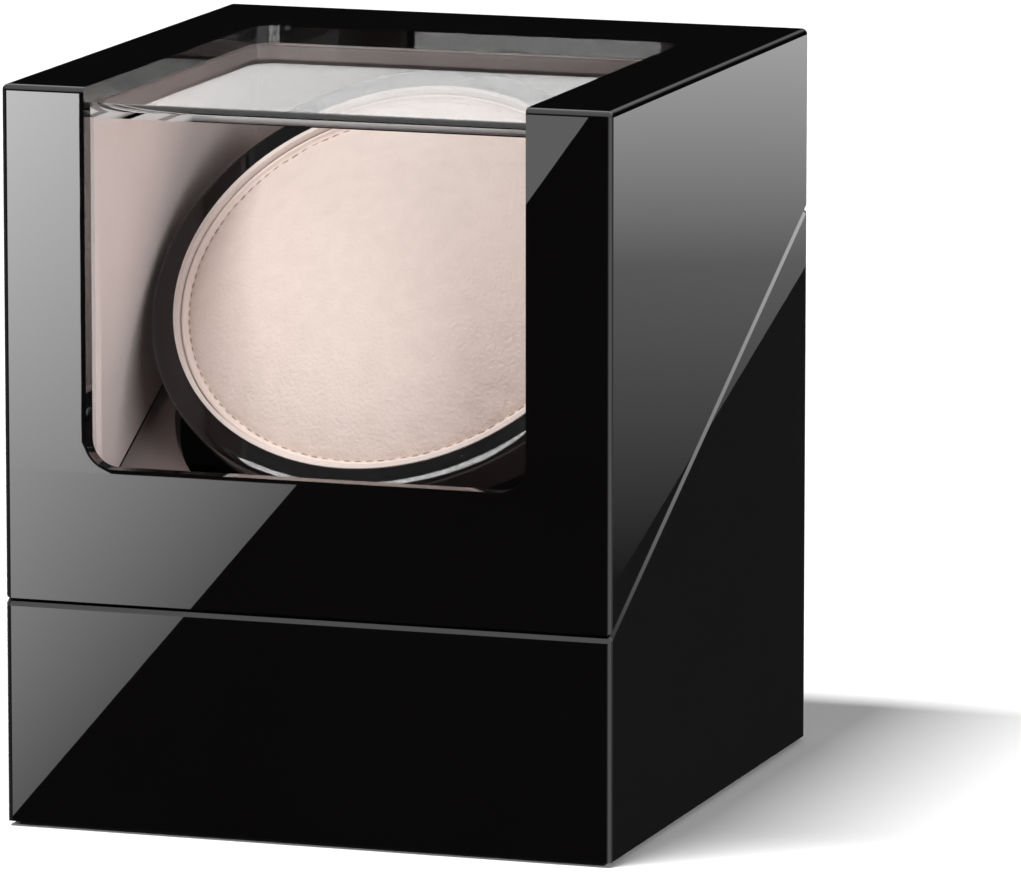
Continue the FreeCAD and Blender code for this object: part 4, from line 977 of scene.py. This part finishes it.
        paint(CUP_PLASTIC, "cup")
        paint(RIM_FLANNEL, "cup_liner")


@dataclass
class ControlPanel:
    """The panel at the back: a mode knob with position marks, a power socket and two screws."""

    well_floor: float = 51.0 * MM
    knob_place: Pair = (-14.0 * MM, 66.0 * MM)
    mark_ring: float = 9.4 * MM
    mark_count: int = 7
    mark_size: Triple = (0.45 * MM, 0.45 * MM, 0.08 * MM)
    mark_middle: float = radians(-90.0)
    mark_sweep: float = radians(210.0)
    pointer_size: Triple = (0.5 * MM, 0.12 * MM, 2.6 * MM)
    pointer_rise: float = 4.0 * MM
    pointer_bevel: float = 0.03 * MM
    bevel_steps: int = 2
    screw_spread: float = 33.5 * MM
    screw_seat: float = 66.5 * MM
    screw_steps: int = 32
    # The screw's outline, as shares of its head's radius and height, and of its shank's length.
    head_outline: tuple[Pair, ...] = ((0.0, 1.0), (0.45, 0.98), (0.72, 0.9), (0.9, 0.7), (1.0, 0.4),
                                      (1.0, 0.0))
    shank_share: float = 0.55
    straight_share: float = 0.8
    recess_arm: Triple = (2.4 * MM, 0.55 * MM, 1.6 * MM)

    def dress(self) -> None:
        """Give the panel's nodes their finishes."""
        paint(CASE_PLASTIC, "control_panel", "mode_knob", "mode_switch", "dc_socket")
        paint(CIRCUIT, "control_board")
        paint(STEEL, "switch_nut", "switch_spindle")

    def build_marks(self) -> None:
        """Set small round marks about the knob and a pointer on it."""
        x, z = self.knob_place
        marks = RingTree("mark_ring", MARKING).grow(
            "position_marks", Matrix.Translation((x, self.well_floor, z)) @ Z_TO_BACK,
            Count=self.mark_count, Radius=self.mark_ring,
            Start=self.mark_middle - self.mark_sweep / 2, Sweep=self.mark_sweep,
            Size=self.mark_size)
        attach(marks, Body.BASE.value)

        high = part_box("mode_knob")[1]
        shape = bmesh.new()
        bmesh.ops.create_cube(shape, size=1.0, matrix=Matrix.Diagonal((*self.pointer_size, 1.0)))
        bmesh.ops.bevel(shape, geom=shape.edges[:], offset=self.pointer_bevel,
                        segments=self.bevel_steps, affect="EDGES")
        bmesh.ops.translate(shape, vec=(x, high[1], z + self.pointer_rise), verts=shape.verts)
        mesh = bpy.data.meshes.new("knob_pointer")
        shape.to_mesh(mesh)
        shape.free()
        pointer = new_object("knob_pointer", mesh, MARKING)
        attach(pointer, Body.KNOB.value)
        LOG.info("%d position marks and a pointer", self.mark_count)

    def screw_shape(self, head: float, rise: float, depth: float) -> Mesh:
        """Make one pan-head screw with a cross recess.

        Args:
            head: The head's radius.
            rise: The head's height.
            depth: How far the shank goes in.

        Returns:
            The screw's mesh, standing on the origin with Z out of the head.
        """
        shank = head * self.shank_share
        profile = [(head * across, rise * up) for across, up in self.head_outline]
        profile += [(shank, 0.0), (shank, -depth * self.straight_share), (0.0, -depth)]
        blank = new_object("screw_blank", spun("screw_blank", profile, self.screw_steps))
        shape = bmesh.new()
        for turn in (0.0, pi / 2):
            place = Matrix.Translation((0.0, 0.0, rise)) @ Matrix.Rotation(turn, 4, "Z")
            arm = place @ Matrix.Diagonal((*self.recess_arm, 1.0))
            bmesh.ops.create_cube(shape, size=1.0, matrix=arm)
        mesh = bpy.data.meshes.new("screw_recess")
        shape.to_mesh(mesh)
        shape.free()
        recess = new_object("screw_recess", mesh)
        cutter = blank.modifiers.new("recess", "BOOLEAN")
        cutter.object = recess
        cutter.use_self = True
        made = settled(blank)
        bpy.data.objects.remove(blank)
        bpy.data.objects.remove(recess)
        return made

    def build_screws(self) -> None:
        """Set the two screws that hold the panel."""
        low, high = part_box("panel_screws")
        head, rise = high[0] - self.screw_spread, high[1] - self.screw_seat
        shape = self.screw_shape(head, rise, self.screw_seat - low[1])
        pattern = new_object("screw_pattern", shape)
        place = Matrix.Translation((-self.screw_spread, self.screw_seat, self.knob_place[1]))
        screws = RowTree("screw_row", BLACK_STEEL).grow(
            "panel_screw_pair", place @ Z_TO_BACK, Piece=pattern, Count=2,
            Step=(2 * self.screw_spread, 0.0, 0.0))
        bpy.data.objects.remove(pattern)
        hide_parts("panel_screws")
        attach(screws, Body.BASE.value)
        LOG.info("two panel screws")

    def build(self) -> None:
        """Dress the panel and add its marks and screws."""
        self.dress()
        self.build_marks()
        self.build_screws()


@dataclass(frozen=True)
class Lamp:
    """A soft lamp that points at the box, or straight down with its width along X."""

    name: str
    place: Triple
    size: Pair
    power: float
    down: bool = False


@dataclass(frozen=True)
class Card:
    """A flat card that stands across Y, with the light's level at its foot and at its top.

    It shows in the gloss, or else only through the clear pane.
    """

    name: str
    plane: float
    across: Pair
    up: Pair
    levels: Pair
    glow: Glow = CARD_GLOW
    through: bool = False


@dataclass(frozen=True)
class Reflector:
    """A patch of light that one side of the case mirrors towards the camera.

    Its corners are given on that side in millimetres, along and up, with the light's level at each.
    """

    face: Face
    corners: tuple[Pair, ...]
    levels: tuple[float, ...]


# How far the cards stand off each face. Then lines on the case, in millimetres: past a side, past
# the top, the window's left jamb and its sill, and the ends of the right side's seam.
REACHES = {Face.FRONT: 0.12, Face.RIGHT: 0.05, Face.RIGHT_SEAM: 0.3}
SIDE, TOP, JAMB, SILL, SEAM_LOW, SEAM_HIGH = 66.0, 150.0, -46.2, 71.7, 54.2, 99.5
RIGHT_MID = (-SIDE, 117.7)
REFLECTORS = (
    # The front: its left stile, the slant below that, the window's corner and the right stile.
    Reflector(Face.FRONT, ((-SIDE, SILL), (JAMB, SILL), (JAMB, TOP), (-SIDE, TOP)),
              (6.6, 5.7, 11.7, 13.4)),
    Reflector(Face.FRONT, ((-SIDE, -3.5), (-SIDE, -3.5), (-1.6, SILL), (-SIDE, SILL)),
              (2.2, 2.2, 2.2, 6.6)),
    Reflector(Face.FRONT, ((JAMB, SILL), (-40.0, SILL), (-44.2, 73.5), (JAMB, 77.7)),
              (5.7, 5.4, 5.6, 6.0)),
    Reflector(Face.FRONT, ((45.2, 128.8), (45.2, 128.8), (60.5, TOP), (45.2, TOP)), (2.6,) * 4),
    # The right side: the lid's lower and upper part, the base, and the bevel along the seam.
    Reflector(Face.RIGHT, ((-SIDE, SEAM_LOW), (SIDE, SEAM_HIGH), (SIDE, SEAM_HIGH), RIGHT_MID),
              (0.02, 0.46, 0.46, 0.46)),
    Reflector(Face.RIGHT, (RIGHT_MID, (SIDE, SEAM_HIGH), (SIDE, TOP), (-SIDE, TOP)),
              (0.46, 0.46, 1.68, 1.38)),
    Reflector(Face.RIGHT, ((-SIDE, -4.0), (SIDE, -4.0), (SIDE, SEAM_HIGH), (-SIDE, SEAM_LOW)),
              (0.032,) * 4),
    Reflector(Face.RIGHT_SEAM, ((-70.0, 23.0), (70.0, 94.0), (70.0, 134.0), (-70.0, 63.0)),
              (0.35, 6.5, 6.5, 0.35)))


@dataclass
class Studio:
    """The floor, the lamps, what the gloss mirrors, and the camera."""

    azimuth: float = radians(18.5)
    elevation: float = radians(9.89)
    distance: float = 1.957
    focal_pixels: float = 9810.0
    frame_width: float = 1021.0
    sensor_width: float = 36.0
    aim: Triple = (0.0204, 0.0, 0.0716)
    half_width: float = 62.5 * MM
    half_depth: float = 65.0 * MM
    floor_half: float = 9.0
    ambient: float = 0.16
    dark: float = 0.004
    # The tent's bands: a turn about Z or a rise over the horizon, as middle and half, in degrees.
    tent_radius: float = 7.0
    tent_steps: int = 180
    tent_rings: int = 120
    glow_from: float = 13.0
    glow_over: float = 20.0
    glow_level: float = 1.7
    strip_turn: Pair = (-18.5, 38.0)
    strip_rise: Pair = (0.0, 24.0)
    strip_level: float = 1.9
    back_turn: Pair = (95.0, 75.0)
    back_gap: Pair = (71.5, 12.0)
    side_turn: Pair = (-152.0, 28.0)
    side_share: float = 0.5
    low_rise: Pair = (-21.0, 15.0)
    low_level: float = 1.2
    wave_mean: float = 0.55
    wave_swing: float = 0.45
    wave_pitch: float = 17.0
    flag_half: float = 3.0
    flag_height: float = 2.0
    flag_level: float = 0.15
    back_sheet: Card = Card("mirror_sheet", plane=3.0, across=(-5.0, 3.0), up=(0.3, 1.6),
                            levels=(3.4, 3.4), through=True)
    front_strip: Card = Card("mirror_strip", plane=-0.6, across=(-2.0, 0.5), up=(0.002, 2.2),
                             levels=(12.0, 12.0), glow=STREAK_GLOW, through=True)
    left_wing: Card = Card("mirror_wing", plane=-65.5 * MM, across=(-303.0 * MM, -63.0 * MM),
                           up=(-0.08, 0.2), levels=(0.004, 0.6))
    cells: int = 12
    lamps: tuple[Lamp, ...] = (
        Lamp("key_lamp", place=(-2.1, -2.7, 9.27), size=(3.8, 1.0), power=930.0, down=True),
        Lamp("fill_lamp", place=(6.0, -5.0, 1.75), size=(5.0, 2.6), power=380.0))

    def eye(self) -> Vector:
        """Find where the camera stands.

        Returns:
            Its place.
        """
        level = cos(self.elevation)
        back = Vector((sin(self.azimuth) * level, -cos(self.azimuth) * level,
                       sin(self.elevation)))
        return Vector(self.aim) + self.distance * back

    def turn_to_box(self, made: Object) -> None:
        """Turn a camera or a lamp, where it is, to look at the box."""
        made.rotation_euler = (Vector(self.aim) - made.location).to_track_quat("-Z", "Y").to_euler()

    def make_camera(self) -> None:
        """Stand the camera where the photograph was taken."""
        lens = bpy.data.cameras.new("photo_camera")
        lens.sensor_fit = "HORIZONTAL"
        lens.sensor_width = self.sensor_width
        lens.lens = self.focal_pixels / self.frame_width * self.sensor_width
        camera = new_object("photo_camera", lens)
        camera.location = self.eye()
        self.turn_to_box(camera)
        bpy.context.scene.camera = camera

    def make_world(self) -> None:
        """Light everything a little, and show white behind everything."""
        world = bpy.data.worlds.new("studio")
        world.use_nodes = True
        bpy.context.scene.world = world
        sheet = NodeSheet(world.node_tree)
        camera, glossy, through = sheet.signals(
            "ShaderNodeLightPath", "Is Camera Ray", "Is Glossy Ray", "Is Transmission Ray")
        seen = camera.at_least(glossy).at_least(through)
        sky = sheet.find("BACKGROUND").inputs["Color"]
        sheet.feed(sky, sheet.blend(seen, grey(self.ambient), grey(1.0)))

    def make_floor(self) -> None:
        """Lay the pale floor. The gloss doesn't mirror it."""
        mesh = woven("floor", level_square(self.floor_half, 0.0), [(0, 1, 2, 3)])
        floor = new_object("floor", mesh, FLOOR_PAPER)
        floor.visible_glossy = False

    def hang(self, lamp: Lamp) -> None:
        """Hang one lamp, which neither the gloss nor the pane shows.

        Args:
            lamp: The lamp.
        """
        light = bpy.data.lights.new(lamp.name, "AREA")
        light.shape = "RECTANGLE"
        light.size, light.size_y = lamp.size
        light.energy = lamp.power
        made = new_object(lamp.name, light)
        made.location = lamp.place
        if not lamp.down:
            self.turn_to_box(made)
        made.visible_glossy = made.visible_transmission = False

    def glowing(self, name: str, points: list[Vector], faces: Faces, levels: list[float],
                glow: Glow = CARD_GLOW, through: bool = False) -> None:
        """Add a shining stage piece that only the gloss mirrors.

        Args:
            name: Its name.
            points: Its points.
            faces: Its faces.
            levels: The light's level at each point.
            glow: Its finish.
            through: Whether it shows through the clear pane, and only there.
        """
        mesh = woven(name, points, faces)
        mesh.attributes.new(glow.level, "FLOAT", "POINT").data.foreach_set("value", levels)
        card = new_object(name, mesh, glow)
        for kind in ("camera", "diffuse", "shadow", "volume_scatter"):
            setattr(card, f"visible_{kind}", False)
        card.visible_glossy = not through
        card.visible_transmission = through

    def tent_level(self, heading: float, height: float) -> float:
        """The light that comes from one direction.

        Args:
            heading: The direction about Z, in degrees from X.
            height: Its height over the horizon, in degrees.

        Returns:
            The light's level: a glow overhead, a strip low on the right, bands low down for the
            other sides, and dark where the photograph's front, right side and top look.
        """
        rise = min(max((height - self.glow_from) / self.glow_over, 0.0), 1.0)
        glow = self.glow_level * rise * rise * (3.0 - 2.0 * rise)
        strip = hump(heading, *self.strip_turn) * hump(height, *self.strip_rise)
        behind = hump(heading, *self.back_turn) * (1.0 - hump(heading, *self.back_gap))
        aside = self.side_share * hump(heading, *self.side_turn)
        turn = radians((heading + height) * 360.0 / self.wave_pitch)
        wave = self.wave_mean + self.wave_swing * sin(turn)
        low = self.low_level * wave * hump(height, *self.low_rise) * (behind + aside)
        return self.dark + glow + self.strip_level * strip + low

    def make_tent(self) -> None:
        """Surround the box with what its gloss mirrors: dark low down, a soft glow overhead."""
        steps, rings = self.tent_steps, self.tent_rings
        points, levels = [], []
        for ring in range(rings + 1):
            height = pi * ring / rings - pi / 2
            out, up = cos(height), sin(height)
            for step in range(steps):
                turn = 2 * pi * step / steps - pi
                way = Vector((cos(turn) * out, sin(turn) * out, up))
                points.append(self.tent_radius * way)
                levels.append(self.tent_level(degrees(turn), degrees(height)))
        self.glowing("mirror_tent", points, grid_faces(rings, steps, steps), levels)

    def make_flag(self) -> None:
        """Hang a dim flag over the box that shows only through the pane."""
        points = level_square(self.flag_half, self.flag_height)
        self.glowing("mirror_flag", points, [(0, 1, 2, 3)], [self.flag_level] * 4, FLAG_GLOW, True)

    def stand(self, card: Card) -> None:
        """Stand one flat card up.

        Args:
            card: The card.
        """
        (left, right), (low, high) = card.across, card.up
        corners = ((left, low), (right, low), (right, high), (left, high))
        points = [Vector((x, card.plane, z)) for x, z in corners]
        foot, top = card.levels
        self.glowing(card.name, points, [(0, 1, 2, 3)], [foot, foot, top, top], card.glow,
                     card.through)

    def mirrored(self, face: Face, along: float, up: float) -> Vector:
        """Follow the camera's line to a point on a side of the case and on to a card.

        Args:
            face: The side.
            along: The point's place along the side.
            up: The point's height.

        Returns:
            The point on the card.
        """
        normal = Vector(face.value)
        spot = Vector((along, -self.half_depth, up))
        if face is not Face.FRONT:
            spot = Vector((self.half_width, along, up))
        ray = (spot - self.eye()).normalized()
        bounced = ray - 2.0 * ray.dot(normal) * normal
        return spot + bounced * (REACHES[face] / bounced.dot(normal))

    def make_reflectors(self) -> None:
        """Stand up the cards that the front and the right side mirror."""
        points, levels, faces = [], [], []
        cells = self.cells
        for card in REFLECTORS:
            faces += grid_faces(cells, cells, cells + 1, len(points))
            for row in range(cells + 1):
                for column in range(cells + 1):
                    u, v = column / cells, row / cells
                    weights = ((1 - u) * (1 - v), u * (1 - v), u * v, (1 - u) * v)
                    along, up = (sum(w * corner[axis] for w, corner in zip(weights, card.corners))
                                 for axis in range(2))
                    points.append(self.mirrored(card.face, along * MM, up * MM))
                    levels.append(sum(w * level for w, level in zip(weights, card.levels)))
        self.glowing("mirror_cards", points, faces, levels)

    def build(self) -> None:
        """Set the whole studio up."""
        bpy.context.scene.view_settings.view_transform = "Standard"
        self.make_camera()
        self.make_world()
        self.make_floor()
        self.make_tent()
        self.make_flag()
        self.make_reflectors()
        for card in (self.back_sheet, self.front_strip, self.left_wing):
            self.stand(card)
        for lamp in self.lamps:
            self.hang(lamp)
        LOG.info("studio ready")


def main() -> None:
    """Dress the box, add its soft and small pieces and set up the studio."""
    logging.basicConfig(level=logging.INFO, format="%(name)s: %(message)s")
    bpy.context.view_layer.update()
    Case().dress()
    Drive().dress()
    CupSet().build()
    ControlPanel().build()
    Studio().build()


if __name__ == "__main__":
    main()
